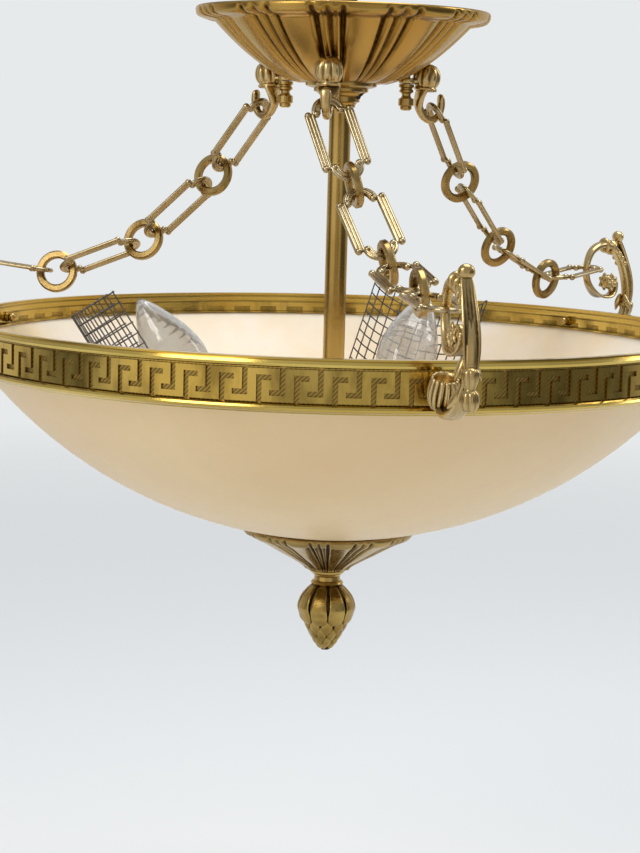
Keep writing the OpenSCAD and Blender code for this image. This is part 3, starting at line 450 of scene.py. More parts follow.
def makeBandBrass(v):                             # polished, with a stained strip, hatched floor in the key, and painted shade in the pressed lines of the inner wall
    material, g = newMaterial("bandBrass")
    place = g.out("ShaderNodeTexCoord", output="Object")
    x, y, z = g.split(place)
    radius = (x * x + y * y) ** 0.5
    turn = x.arctan2(y)
    inside = radius.ramp(v["floorRadius"] * mm, (v["floorRadius"] + 0.2) * mm, 1.0, 0.0)
    strip = (z < v["friezeTop"] * mm) * (z > v["friezeBottom"] * mm)
    inside = inside * strip * (radius > v["wallRadius"] * mm)
    broad = g.noise(place, 11.0, 3.0)
    fine = g.noise(g.join(turn * 2.0, z * 12.0, 0.0), v["drag"], 5.0, 0.6)
    lines = ((turn * v["radius"] / v["hatch"] + z * 1000.0 / v["hatch"]) * math.pi).sin()
    tone = g.mixColour(broad.ramp(0.35, 0.68), v["deep"], v["colour"])
    tone = g.mixColour(fine.ramp(0.6, 0.8) * 0.35, tone, v["dark"])
    blotch = g.noise(g.join(turn * 5.0, z * 9.0, 0.0), 2.2, 4.0, 0.6)
    tone = g.mixColour(blotch.ramp(0.47, 0.66) * strip * 0.75, tone, v["patina"])
    within = radius < v["innerWall"] * mm
    back = (turn * v["units"] / (2 * math.pi)).fract()
    pressed = (back > 0.2) * (back < 0.8) * (z > v["backOfKey"][0] * mm) * (z < v["backOfKey"][1] * mm)
    pressed = pressed * fine.ramp(0.3, 0.6, 0.2, 1.0)
    for groove in v["grooves"]:
        pressed = pressed.most((z - groove * mm).abs().ramp(0.2 * mm, 0.7 * mm, 1.0, 0.0))
    # painted shade in the pressed back of the key and the grooves on the inner wall
    tone = g.mixColour(pressed * within * 0.45, tone, v["dark"])
    floor = g.mixColour(lines.ramp(-0.4, 0.8), v["dark"], v["floor"])
    tone = g.mixColour(inside * 0.85, tone, floor)
    rough = broad.ramp(0.3, 0.7, 0.13, 0.2) + inside * 0.22 + (fine - 0.5) * 0.1
    height = fine * 0.4 + lines * inside - pressed * within * 4.0
    bump = g.out("ShaderNodeBump", None, {"Strength": 0.12, "Distance": 0.0004, "Height": height})
    return closeMaterial(material, g, {"Base Color": tone, "Metallic": 1.0, "Roughness": rough,
                                       "Normal": bump})


opalValues = {"outer": (0.80, 0.595, 0.335), "outerPale": (0.85, 0.66, 0.385), "inner": (0.90, 0.82, 0.70),
              "wallRadius": 244, "ballHeight": -59.6}     # middle of the wall, and the ball's centre


def makeOpalGlass(v):                             # cream outside, whiter inside, faint clouds
    material, g = newMaterial("opalGlass")
    place = g.out("ShaderNodeTexCoord", output="Object")
    x, y, z = g.split(place)
    up = z - v["ballHeight"] * mm
    radius = (x * x + y * y + up * up) ** 0.5
    clouds = g.noise(place, 9.0, 5.0, 0.55, 0.4)
    grain = g.noise(place, 260.0, 3.0)
    outer = g.mixColour(clouds.ramp(0.35, 0.65), v["outer"], v["outerPale"])
    inner = g.mixColour(clouds.ramp(0.4, 0.7), v["inner"], v["outerPale"])
    tone = g.mixColour(radius.ramp((v["wallRadius"] - 1) * mm, (v["wallRadius"] + 1) * mm), inner, outer)
    rough = grain.ramp(0.3, 0.7, 0.34, 0.44)
    bump = g.out("ShaderNodeBump", None, {"Strength": 0.08, "Distance": 0.0003, "Height": grain})
    return closeMaterial(material, g, {"Base Color": tone, "Roughness": rough, "Normal": bump,
                                       "Subsurface Weight": 0.25, "Subsurface Radius": (0.02, 0.013, 0.008),
                                       "Subsurface Scale": 0.2, "IOR": 1.46})


def makeBulbGlass():                              # clear, with a faint haze
    material, g = newMaterial("bulbGlass")
    place = g.out("ShaderNodeTexCoord", output="Object")
    haze = g.noise(place, 60.0, 3.0)
    tone = g.mixColour(haze.ramp(0.3, 0.7), (0.80, 0.79, 0.76), (0.88, 0.87, 0.85))
    rough = haze.ramp(0.3, 0.7, 0.04, 0.08)
    return closeMaterial(material, g, {"Base Color": tone, "Roughness": rough, "Transmission Weight": 0.86,
                                       "IOR": 1.45})


def makePlastic(name, colour, rough, scale=180.0):
    material, g = newMaterial(name)
    place = g.out("ShaderNodeTexCoord", output="Object")
    grain = g.noise(place, scale, 4.0)
    dull = tuple(c * 0.8 for c in colour)
    tone = g.mixColour(grain.ramp(0.3, 0.7), dull, colour)
    bump = g.out("ShaderNodeBump", None, {"Strength": 0.15, "Distance": 0.0003, "Height": grain})
    spread = grain.ramp(0.3, 0.7, rough - 0.06, rough + 0.06)
    return closeMaterial(material, g, {"Base Color": tone, "Roughness": spread, "Normal": bump})


bandBrass = makeBandBrass(bandValues)
opalGlass = makeOpalGlass(opalValues)
bulbGlass = makeBulbGlass()
ivoryPlastic = makePlastic("ivoryPlastic", (0.78, 0.73, 0.62), 0.45)
blackPlastic = makePlastic("blackPlastic", (0.03, 0.03, 0.03), 0.5)
brownSleeve = makePlastic("brownSleeve", (0.16, 0.06, 0.025), 0.4)
blackSleeve = makePlastic("blackSleeve", (0.025, 0.025, 0.028), 0.4)
whiteFelt = makePlastic("whiteFelt", (0.72, 0.70, 0.64), 0.95, 900.0)
print("materials made")


def paint(material, *names):
    for name in names:
        for slot in nodes[name].material_slots:
            slot.link = "OBJECT"
            slot.material = material


chains = ("front", "right", "left")
paint(metals["darkIron"], "hanging_loop", "collar_screw")
paint(metals["zincSteel"], "loop_lock_nut", "threaded_rod", "hook_inner_nuts", "clamp_plate")
paint(metals["turnedBrass"], "stem_tube", "canopy_collar", "hook_finial_nuts", "bracket_screws", "lamp_hub",
      "lamp_arms", "neck_ring")
paint(metals["satinBronze"], "canopy")
paint(metals["chainBrass"], *[f"{c}_link_{i}" for c in chains for i in (1, 2, 3, 4)])
paint(metals["ringBrass"], *[f"{c}_ring_{i}" for c in chains for i in (1, 2, 3)])
paint(metals["meshWire"], "left_mesh_guard", "back_mesh_guard")
paint(metals["bulbCap"], "left_bulb_cap", "back_bulb_cap")
paint(bulbGlass, "left_bulb_glass", "back_bulb_glass")
paint(bandBrass, "bowl_band", "key_frieze")
paint(opalGlass, "glass_bowl")
paint(ivoryPlastic, "lampholders")
paint(blackPlastic, "terminal_block")
paint(whiteFelt, "felt_washer")

# Leads above the canopy, along the same points as their solids

leadValues = {
    "diameter": 3,
    "brown": [[-30, -4, -14.2], [-31, -5, -9], [-26, -9, -4], [-17, -13, -4], [-11, -14, -12],
              [-10.5, -12, -22], [-10.8, -9, -31], [-10.4, -4.5, -38], [-8, -1.9, -40.6], [-4.8, -1.75, -40.8]],
    "black": [[-18, -4, -14.2], [-17, -2, -9], [-16, 4, -4], [-13, 11, -5], [-11, 13, -14],
              [-10.4, 12, -24], [-10.8, 9, -32], [-10.4, 4.5, -38], [-8, 1.9, -40.6], [-4.8, 1.75, -40.8]],
}


def makeLead(name, points, diameter, material, node):
    route = smoothPath(points, 4) * mm
    curve = bpy.data.curves.new(name, "CURVE")
    curve.dimensions = "3D"
    curve.bevel_depth = diameter / 2 * mm
    curve.bevel_resolution = 3
    curve.use_fill_caps = True
    spline = curve.splines.new("POLY")
    spline.points.add(len(route) - 1)
    for place, point in zip(spline.points, route):
        place.co = (*point, 1.0)
    lead = bpy.data.objects.new(name, curve)
    scene.collection.objects.link(lead)
    curve.materials.append(material)
    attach(lead, "fixture")
    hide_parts(node)


makeLead("brownLead", leadValues["brown"], leadValues["diameter"], brownSleeve, "brown_lead")
makeLead("blackLead", leadValues["black"], leadValues["diameter"], blackSleeve, "black_lead")
print("leads laid")

# Flutes: a tree that presses grooves and ribs into a turned surface and marks the grooves for painted shade and
# the ridges for painted highlight


def makeFluteTree():
    g, entry = newTree("flutes", [("Tongues", "Int"), ("Depth", "Float"), ("Scallop", "Float"),
                                  ("Material", "Material")])
    turn, gain = (g.named(label, "FLOAT") for label in ("turn", "gain"))
    share = (turn * entry["Tongues"]).fract()
    # across one unit: broad tongue, groove, rib, shallow groove, rib
    bend = [(0.0, 0.05), (0.02, 0.1), (0.055, 0.7), (0.12, 0.8), (0.3, 0.86), (0.48, 0.8), (0.545, 0.7),
            (0.58, 0.1), (0.6, 0.05), (0.62, 0.1), (0.65, 0.6), (0.7, 0.7), (0.745, 0.6), (0.78, 0.25),
            (0.8, 0.2), (0.82, 0.25), (0.855, 0.6), (0.9, 0.7), (0.95, 0.6), (0.98, 0.1), (1.0, 0.05)]
    relief = g.out("ShaderNodeFloatCurve", {"bend": bend}, {"Value": share}) - 0.5
    x, y, z = g.split(g.out("GeometryNodeInputPosition"))
    radius = (x * x + y * y) ** 0.5
    push = relief * gain * entry["Depth"]
    drop = 0.0 - relief * (gain * 3.0).least(1.0) * entry["Scallop"]
    shift = g.join(x / radius * push, y / radius * push, drop)
    pressed = g.out("GeometryNodeSetPosition", None, {"Geometry": entry["Geometry"], "Offset": shift})
    # grooves marked as hollows for painted shade, tongues and ribs as raised for painted highlight
    hollow = (0.0 - relief * 2.4) * gain.ramp(0.0, 0.5)
    marked = g.out("GeometryNodeStoreNamedAttribute", {"data_type": "FLOAT", "domain": "POINT"},
                   {"Geometry": pressed, "Name": "hollow", "Value": hollow})
    return closeTree(g, marked, entry["Material"])


fluteTree = makeFluteTree()


def turnedShell(name, outline, gains, columns):   # closed outline of (radius, height), outer side first
    outline = np.asarray(outline, float)
    g = np.linspace(0, 2 * math.pi, columns, endpoint=False)
    rows = np.stack([outline[:, :1] * np.sin(g), -outline[:, :1] * np.cos(g),
                     np.repeat(outline[:, 1:2], columns, 1)], -1)
    clay = Clay()
    clay.grid(rows, loop=True)
    mesh = clay.toMesh(name)
    turns = np.tile(g / (2 * math.pi), len(outline))
    for label, values in (("turn", turns), ("gain", np.repeat(gains, columns))):
        layer = mesh.attributes.new(label, "FLOAT", "POINT")
        layer.data.foreach_set("value", np.asarray(values, np.float32))
    return mesh


canopyValues = {
    "top": -18, "bottom": -57, "lip": 80, "bell": 68.5, "throat": 20, "bellHeight": 32.2, "belly": 0.6,
    "wall": 2.2, "tongues": 12, "depth": 4.0, "scallop": 2.2, "columns": 480,
    # rolled lip: inward from its radius, down from the top, share of the flutes
    "roll": [(0.8, 0, 0), (0.2, 0.5, 0), (0, 1.3, 0.08), (0.3, 2.6, 0.2), (0.8, 3.7, 0.36), (1.8, 4.6, 0.55),
             (3.4, 5.3, 0.75), (5.6, 5.8, 0.95), (8.2, 6.2, 1.1)],
}


def makeCanopy(v):
    bellWidth = v["bell"] - v["throat"]
    lip = [(v["lip"] - inward, v["top"] - down) for inward, down, gain in v["roll"]]
    t = np.linspace(1, 0.02, 34)
    outer = list(zip(v["throat"] + bellWidth * t ** v["belly"], v["bottom"] + t * v["bellHeight"]))
    foot = [(16, v["bottom"]), (12, v["bottom"]), (7, v["bottom"]), (7, v["bottom"] + v["wall"])]
    inner = [(v["throat"] + bellWidth * s ** v["belly"] - v["wall"] - 1.9 * s,
              v["bottom"] + s * v["bellHeight"] + v["wall"] * 1.1) for s in np.linspace(0.03, 1, 16)]
    edge = [(v["lip"] - 5, v["top"])]
    gains = [gain for inward, down, gain in v["roll"]] + list(0.3 + 0.85 * t)
    gains += [0] * (len(foot) + len(inner) + len(edge))
    shell = turnedShell("canopyShell", lip + outer + foot + inner + edge, gains, v["columns"])
    mesh = grow(shell, fluteTree, {"Tongues": v["tongues"], "Depth": v["depth"] * mm,
                                   "Scallop": v["scallop"] * mm, "Material": metals["satinBronze"]})
    addPiece("canopyShell", mesh, "fixture", metals["satinBronze"], "satin_bronze", "canopy")


makeCanopy(canopyValues)
print("canopy made")

cupValues = {
    "ball": -59.34, "ballRadius": 247.3,           # the bowl that it bears on
    "rim": 47.5, "height": 24, "lobes": 12, "depth": 3.8, "scallop": 1.5, "columns": 384, "bore": 5.1,
    # below the rim: radius, down from the rim
    "side": [(45.1, 4.3), (39, 7.2), (32.3, 11), (25.7, 14.9), (19, 18.7), (13.8, 22.1), (12.35, 24)],
}


def makeCup(v):
    def ballAt(radius):                           # underside of the bowl
        return v["ball"] - math.sqrt(v["ballRadius"] ** 2 - radius * radius)

    rim = v["rim"]
    top = ballAt(rim)
    outline = [(rim, top), (rim + 0.5, top - 0.8), (rim + 0.5, top - 2.0), (rim - 0.4, top - 3.0)]
    gains = [0, 0.05, 0.2, 0.45]
    side = smoothPath([(radius, top - down) for radius, down in v["side"]], 6)
    outline += [tuple(p) for p in side]
    gains += list(np.linspace(1.0, 0.3, len(side)))
    outline += [(v["bore"], top - v["height"]), (v["bore"], top - v["height"] + 5), (26, top + 4.0)]
    reach = np.linspace(28, rim - 0.6, 8)
    outline += [(r, ballAt(r)) for r in reach]
    gains += [0] * (3 + len(reach))
    outline = [(r, min(z, ballAt(r))) for r, z in outline]
    shell = turnedShell("finialCup", outline, gains, v["columns"])
    mesh = grow(shell, fluteTree, {"Tongues": v["lobes"], "Depth": v["depth"] * mm,
                                   "Scallop": v["scallop"] * mm, "Material": metals["cupBrass"]})
    addPiece("finialCup", mesh, "fixture", metals["cupBrass"], "turned_brass", "finial_cup")


makeCup(cupValues)
print("cup made")

# Buds: a tree that sets beads, petals, leaves and scales on points


def makeBudTree():
    g, entry = newTree("buds", [("Point", "Float"), ("Flat", "Float"), ("Material", "Material")])
    ball = g.out("GeometryNodeMeshUVSphere", None, {"Segments": 14, "Rings": 10, "Radius": 0.5})
    x, y, z = g.split(g.out("GeometryNodeInputPosition"))
    reach = (z * 2.0).most(0.0) ** 1.4
    narrow = 1.0 - reach * entry["Point"]
    groove = (1.0 - (x.abs() * 9.0).least(1.0)) * entry["Flat"]
    shape = g.join(x * narrow, y * (1.0 - groove), z)
    bud = g.out("GeometryNodeSetPosition", None, {"Geometry": ball, "Position": shape})
    along, facing, size = (g.named(label, "FLOAT_VECTOR") for label in ("along", "facing", "size"))
    lean = g.out("FunctionNodeAlignRotationToVector", {"axis": "Z"}, {"Vector": along})
    turn = g.out("FunctionNodeAlignRotationToVector", {"axis": "Y", "pivot_axis": "Z"},
                 {"Rotation": lean, "Vector": facing})
    placed = g.out("GeometryNodeInstanceOnPoints", None, {"Points": entry["Geometry"], "Instance": bud,
                                                          "Rotation": turn, "Scale": size})
    real = g.out("GeometryNodeRealizeInstances", None, {"Geometry": placed})
    smooth = g.out("GeometryNodeSetShadeSmooth", None, {"Geometry": real})
    return closeTree(g, smooth, entry["Material"])


budTree = makeBudTree()


# Each bud is (place, direction of its length, way that it faces, size)

def addBuds(name, buds, body, material, slot, bearing=90, point=0.0, flat=0.0):
    places = atBearing([b[0] for b in buds], bearing) * mm
    mesh = bpy.data.meshes.new(name)
    mesh.from_pydata(places.tolist(), [], [])
    along, facing = (atBearing([b[k] for b in buds], bearing) for k in (1, 2))
    size = np.array([b[3] for b in buds], float) * mm
    for label, values in (("along", along), ("facing", facing), ("size", size)):
        layer = mesh.attributes.new(label, "FLOAT_VECTOR", "POINT")
        layer.data.foreach_set("vector", np.asarray(values, np.float32).reshape(-1))
    grown = grow(mesh, budTree, {"Point": point, "Flat": flat, "Material": material})
    addPiece(name, grown, body, material, slot)


# Pine cone: turned core, nine ribbed sepals above, rows of pointed scales below

coneValues = {
    "top": -335.84, "length": 37.4, "radius": 15.75, "widest": 0.32, "bore": 5.1, "boreTop": -348.2,
    "neck": 8.4, "tip": 2.4, "core": 0.9,         # the core lies this deep under the cone's outline
    "sepals": 9, "sepalTurn": -16, "gapShade": 1.0, "columns": 96,
    # sepal: share of the length, width, thickness, lift
    "sepal": [(0.0, 4.6, 0.8, -0.8), (0.07, 6.0, 1.4, -0.3), (0.18, 7.8, 1.9, 0.0), (0.32, 9.5, 2.4, 0.1),
              (0.42, 9.8, 2.9, 0.4), (0.48, 9.3, 3.2, 0.6), (0.53, 7.6, 3.0, 0.5), (0.56, 4.4, 1.8, -0.1)],
    # rows of scales: share of the length, count, turn, length, width
    "scales": [(0.62, 9, 20, 11.6, 7.2), (0.74, 9, 0, 11, 6.1), (0.85, 7, 26, 9, 5.5), (0.92, 5, 0, 6.0, 4.6)],
    "scaleThick": 4.4, "scaleSunk": 1.5,
}


def coneRadius(v, s):
    s = np.asarray(s, float)
    widest = v["widest"]
    rise = 0.62 + 0.38 * np.sin(np.pi / 2 * np.clip(s / widest, 0, 1))
    fall = np.clip(1 - (s - widest) / (1 - widest), 0, 1) ** 0.58
    return v["radius"] * np.where(s < widest, rise, fall)


def makeCone(v):
    s = np.linspace(0.012, 0.985, 40)
    bottom = v["top"] - v["length"]
    outline = [(0.05, v["boreTop"], 0), (v["bore"], v["boreTop"], 0), (v["bore"], v["top"], 0),
               (v["neck"], v["top"], 0)]
    outline += [(r, z, 0) for r, z in zip(coneRadius(v, s) - v["core"], v["top"] - v["length"] * s)]
    outline += [(v["tip"], bottom, 0), (0.05, bottom, 0)]
    core = Clay()
    core.lathe(outline, v["columns"])
    # the whole core is darkened: painted shade in the gaps between sepals and scales
    core.hollow = [v["gapShade"]] * len(core.hollow)
    stations = [(float(coneRadius(v, u)) - 0.7 + lift, v["top"] - v["length"] * u - 0.2, thick, width, 0.3, 0.2)
                for u, width, thick, lift in v["sepal"]]
    sepal = Clay()
    sepal.strap(stations[::-1], 5, 40, 3)
    for k in range(v["sepals"]):
        core.take(sepal, v["sepalTurn"] + 360 / v["sepals"] * k)
    addPiece("pineCone", core.toMesh("pineCone"), "pine_cone", metals["coneBrass"], "turned_brass", "pine_cone")
    scales = []
    for u, count, turn, length, width in v["scales"]:
        above, here, below = (float(coneRadius(v, u + d)) for d in (-0.06, 0, 0.05))
        slope = np.array([below - above, -0.11 * v["length"]])
        slope /= np.linalg.norm(slope)
        for k in range(count):
            a = math.radians(v["sepalTurn"] + turn + 360 / count * k - 90)
            out = np.array([math.cos(a), math.sin(a), 0.0])
            along = out * slope[0] + np.array([0, 0, slope[1]])
            facing = out * -slope[1] + np.array([0, 0, slope[0]])
            place = out * (here - v["scaleSunk"]) + np.array([0, 0, v["top"] - v["length"] * u])
            scales.append((place, along, facing, (width, v["scaleThick"], length)))
    addBuds("coneScales", scales, "pine_cone", metals["coneBrass"], "turned_brass", point=0.75, flat=0.12)


makeCone(coneValues)
print("pine cone made")

# Canopy hooks: gadrooned head, hooded neck, upturned tip, lug under the finial nut's clamp

hookValues = {
    "bearings": (-7.5, 112.5, 232.5),
    "head": (51.2, -52.4, 7.8),        # radius from the stem, height, size of the ball
    "headLean": 6, "lobes": 9,
    # head: radius and height as shares of the ball, lobe depth
    "ball": [(0.05, 0.99, 0), (0.3, 0.97, 0), (0.5, 0.9, 0), (0.62, 0.84, 0), (0.66, 0.78, 0),
             (0.7, 0.74, 0.02), (0.84, 0.6, 0.09), (0.95, 0.38, 0.13), (1.0, 0.12, 0.15),
             (1.0, -0.12, 0.15), (0.95, -0.34, 0.14),
             (0.85, -0.52, 0.1), (0.74, -0.64, 0.03), (0.74, -0.68, 0), (0.82, -0.74, 0), (0.84, -0.82, 0),
             (0.78, -0.9, 0), (0.6, -0.96, 0), (0.05, -1.0, 0)],
    "neck": [(50.2, -57.4, 5.0, 9.0, 0.0, 0), (49.4, -58.8, 6.0, 12.0, 0.3, 0), (48.4, -61, 5.6, 12.0, 0.85, 0),
             (47.5, -63.6, 5.0, 10.4, 0.7, 0), (47.1, -66.2, 4.8, 8.0, 0.4, 0), (47.2, -69, 4.5, 5.8, 0.1, 0),
             (50.2, -73.7, 4.3, 4.6, 0.0, 0), (54.8, -75.5, 4.1, 4.1, 0.0, 0), (58.9, -72.9, 3.9, 4.2, 0.0, 0),
             (60.4, -68, 4.0, 5.2, 0.0, 0), (60.3, -64, 3.6, 5.8, 0.0, 0), (59.9, -61.9, 2.6, 4.6, 0.0, 0),
             (59.7, -61, 0.8, 1.6, 0.0, 0)],
    "lug": (39, -54.4, 4.4, 3.0),      # radius from the stem, middle height, lug radius, thickness
}


def makeHooks(v):
    clay = Clay()
    x, z, r = v["head"]
    turn = Matrix.Translation((x, 0, z)) @ Matrix.Rotation(math.radians(v["headLean"]), 4, "Y")
    clay.lathe([(a * r, b * r, c) for a, b, c in v["ball"]], 108, turn, v["lobes"])
    clay.strap(v["neck"], 5, 40)
    lx, lz, lr, lt = v["lug"]
    half = lt / 2
    ring = [(2.4, half, 0), (lr - 0.5, half, 0), (lr, half - 0.5, 0), (lr, 0.5 - half, 0),
            (lr - 0.5, -half, 0), (2.4, -half, 0), (2.1, -half, 0), (2.1, half, 0)]
    clay.lathe(ring, 40, Matrix.Translation((lx, 0, lz)))
    clay.strap([(lx + 2.6, lz, lt * 0.9, 4.6, 0, 0), (lx + 5, lz, lt, 6, 0, 0),
                (lx + 8, lz + 0.2, lt, 6.4, 0, 0), (x - 1, lz + 0.6, lt, 6, 0, 0)], 3, 24)
    mesh = clay.toMesh("canopyHooks", v["bearings"])
    addPiece("canopyHooks", mesh, "fixture", metals["castBrass"], "cast_brass", "canopy_hooks")


makeHooks(hookValues)
print("hooks made")

# Scroll brackets

bracketValues = {
    "bearings": {"front": 13.5, "right": 133.5, "left": 253.5},
    "rose": (236.5, -171.5),           # radius from the stem, height
    "middle": -200,                    # middle of the band
    # strap, heights from the rose and then from the band's middle
    "scroll": [(243.5, 0.5, 2.6, 4.6, 0, 0), (242.3, -6, 3, 6, 0.3, 0), (236.5, -9.6, 3.6, 7.6, 0.6, 0),
               (226, -8.6, 4.0, 8.0, 0.6, 0), (217.2, -1, 3.5, 5.2, 0.2, 0), (214.7, 9, 3.3, 4.5, 0.1, 0),
               (218.4, 18.4, 3.6, 5.4, 0.1, 0), (226, 22.6, 4.4, 7, 0, 0), (234, 22.6, 4.6, 7, 0, 0),
               (242, 19.4, 4.6, 6.6, 0, 0), (249, 11.6, 4.8, 6.4, 0, 0), (253.6, 1.4, 5.0, 6.4, 0, 0),
               (255.4, -9, 5.0, 6.4, 0, 0), (254.4, -18, 4.8, 6.8, 0, 0)],
    "foot": [(250.6, 4, 4.6, 7.4, 0, 0), (243, -3.4, 4.2, 8.4, 0, 0.15), (234, -7.6, 4, 9, 0, 0.3),
             (226, -9, 3.8, 9.4, 0, 0.3), (219, -8, 3.4, 8.6, 0, 0), (215, -5.4, 2.4, 5, 0, 0)],
    "leaf": [(243.4, 28, 1.6, 3.4, 0, 0), (245.0, 25.2, 2.8, 5.4, 0.2, 0), (246.6, 22.4, 3.2, 6.4, 0.4, 0.1),
             (248.8, 18.4, 3.4, 7.0, 0.5, 0.2), (251.6, 12.8, 3.0, 7.6, 0.6, 0.22),
             (254.6, 6, 2.8, 8.2, 0.7, 0.24), (256.6, -1.5, 2.6, 8.4, 0.8, 0.24),
             (257.3, -8.6, 2.4, 7.6, 0.8, 0.2), (256.8, -14.6, 2.2, 5.8, 0.6, 0.1),
             (255.8, -19.4, 1.6, 3.4, 0.2, 0), (255.2, -21.6, 0.7, 1.6, 0, 0)],
    "collars": [(231.5, 23, 90), (237.6, 21.6, 106)],      # radius, height from the rose, lean
    "collar": [(0.05, 1.9, 0), (3.2, 1.7, 0), (4.4, 0.9, 0), (4.8, 0, 0), (4.4, -0.9, 0), (3.2, -1.7, 0),
               (0.05, -1.9, 0)],
    "disc": [(0.05, 2.9, 0), (3.2, 2.8, 0), (4.3, 2.1, 0), (4.5, 0, 0), (4.3, -2.1, 0), (3.2, -2.8, 0),
             (0.05, -2.9, 0)],
    "knob": (244.4, 28.2, (3.2, 4.0, 3.6)),
    "drop": (256, -4, 8),              # radius, height from the band's middle, lobes
    "dropOutline": [(0.05, 20.6, 0), (1.8, 20.2, 0), (4.2, 18.6, 0.06), (4.6, 17.2, 0.12), (3.7, 13.4, 0.14),
                    (2.6, 10.4, 0.06), (2.5, 10.0, 0), (3.6, 9.3, 0.06), (4.4, 8.2, 0.12), (4.7, 5.4, 0.16),
                    (4.3, 2.6, 0.16), (3.0, 0.7, 0.1), (0.05, 0, 0)],
    "curl": (215.2, -0.6, 20, 14),     # open gadrooned cup: radius, height, lean in degrees, lobes
    "curlOutline": [(0.05, -8.8, 0), (2.6, -8.6, 0.02), (4.8, -7.4, 0.1), (6.5, -5, 0.16), (7.4, -1.6, 0.19),
                    (7.5, 2, 0.19), (7.1, 5, 0.17), (6.6, 7.2, 0.13), (6.0, 8.2, 0.06), (5.4, 8.0, 0),
                    (5.1, 6.6, 0), (5.0, 3.4, 0), (3.6, 1.2, 0), (0.05, 0.4, 0)],
    # on both faces, heights from the rose; leaf: radius, offset, height, lean out and aside, width
    "leaves": [(252.2, 4.0, -13.5, 0.1, 0.4, 4.4), (247.0, 4.2, -27.5, -0.5, 0.5, 4.6)],
    "beadRow": [(243.0, 17.8), (245.8, 15.0), (248.4, 11.4)],
}


def placeAt(x, z, lean=0, axis="Y"):
    return Matrix.Translation((x, 0, z)) @ Matrix.Rotation(math.radians(lean), 4, axis)


def makeBracket(v, side):
    rx, rz = v["rose"]
    m = v["middle"]
    clay = Clay()
    strap = [(x, rz + z, *rest) for x, z, *rest in v["scroll"]]
    strap += [(x, m + z, *rest) for x, z, *rest in v["foot"]]
    clay.strap(strap, 4, 76, 7)
    for x, z, lean in v["collars"]:
        clay.lathe(v["collar"], 36, placeAt(x, rz + z, lean))
    clay.lathe(v["disc"], 36, placeAt(rx, rz, 90, "X"))
    clay.strap([(rx + 1, rz, 3, 3.6, 0, 0), (rx + 4, rz + 0.2, 3, 3.8, 0, 0),
                (243.4, rz + 0.4, 2.8, 4.2, 0, 0)], 3, 20)
    x, z, radii = v["knob"]
    clay.blob((x, 0, rz + z), radii, 28, 18)
    clay.strap([(x, rz + z, *rest) for x, z, *rest in v["leaf"]], 5, 56, 5)
    x, z, lobes = v["drop"]
    clay.lathe(v["dropOutline"], 72, placeAt(x, m + z), lobes)
    x, z, lean, lobes = v["curl"]
    clay.lathe(v["curlOutline"], 168, placeAt(x, m + z, lean), lobes)
    name, bearing, brass = side + "Bracket", v["bearings"][side], metals["castBrass"]
    addPiece(name, clay.toMesh(name, (bearing,)), "fixture", brass, "cast_brass", side + "_bracket")
    petals, beads = [], []
    for s in (-1, 1):                             # rosette, small leaves and beads on both faces
        for i in range(6):
            a = math.radians(60 * i + 30)
            out = np.array([math.cos(a), 0, math.sin(a)])
            petals.append((np.array([rx, s * 2.9, rz]) + out * 3.1, out, (0, s, 0), (3.9, 2.6, 5.4)))
        beads.append(((rx, s * 3.6, rz), (0, s, 0), (1, 0, 0), (3.0, 3.0, 2.4)))
        petals += [((x, s * y, rz + z), (tilt, s * aside, -1), (0.4, s, 0), (width, 2.6, 12.0))
                   for x, y, z, tilt, aside, width in v["leaves"]]
        beads += [((x, s * 3.2, rz + z), (0, s, 0), (1, 0, 0), (3.0, 3.0, 2.6)) for x, z in v["beadRow"]]
    petals.append(((240.0, 0, rz - 3.2), (0.3, 0, 1), (1, 0, 0), (4.2, 3.6, 8.0)))
    addBuds(name + "Petals", petals, "fixture", brass, "cast_brass", bearing, 0.7, 0.2)
    addBuds(name + "Beads", beads, "fixture", brass, "cast_brass", bearing)


for side in bracketValues["bearings"]:
    makeBracket(bracketValues, side)
print("brackets made")

# Inside of the bulbs: glass foot and filament

bulbValues = {
    "lean": 33, "foot": 43.6, "footHeight": -278.43, "start": 44, "bearings": {"left": -90, "back": 150},
    "stem": [(0.05, -0.6, 0), (4.6, -0.6, 0), (4.2, 2, 0), (2.6, 6, 0), (1.7, 12, 0), (1.9, 15, 0),
             (1.6, 16.4, 0), (0.05, 16.8, 0)],
    "wire": 0.16,
    "wires": [[(-1.0, 0, 15), (-2.6, 0.4, 20), (-4.4, 0.8, 27), (-5, 1, 33)],
              [(1.0, 0, 15), (2.6, -0.4, 20), (4.4, -0.8, 27), (5, -1, 33)],
              [(-5, 1, 33), (-3, 3.4, 35.6), (0, 4.2, 34.6), (3, 3, 35.8), (5, -1, 33)]],
}


def makeBulbInside(v, side):
    clay = Clay()
    clay.lathe(v["stem"], 24)
    turns = np.linspace(0, 2 * math.pi, 6, endpoint=False)
    ring = [(v["wire"] * math.cos(a), v["wire"] * math.sin(a)) for a in turns]
    for wire in v["wires"]:
        path = smoothPath(wire, 6)
        clay.grid([[(p[0] + c, p[1] + s, p[2]) for c, s in ring] for p in path])
    lean = np.array(Matrix.Rotation(math.radians(v["lean"]), 3, "Y"))
    placed = (np.array(clay.points) + [0, 0, v["start"]]) @ lean.T + [v["foot"], 0, v["footHeight"]]
    clay.points = placed.tolist()
    name = side + "BulbInside"
    mesh = clay.toMesh(name, (v["bearings"][side],))
    addPiece(name, mesh, side + "_bulb", metals["zincSteel"], "bulb_cap")


for side in bulbValues["bearings"]:
    makeBulbInside(bulbValues, side)
print("bulbs filled")

# Floor and light: a pale round floor that fades into the pale surroundings

stageValues = {"floor": -620, "radius": 3000, "fade": (900, 2700), "columns": 96, "colour": (0.80, 0.81, 0.81)}


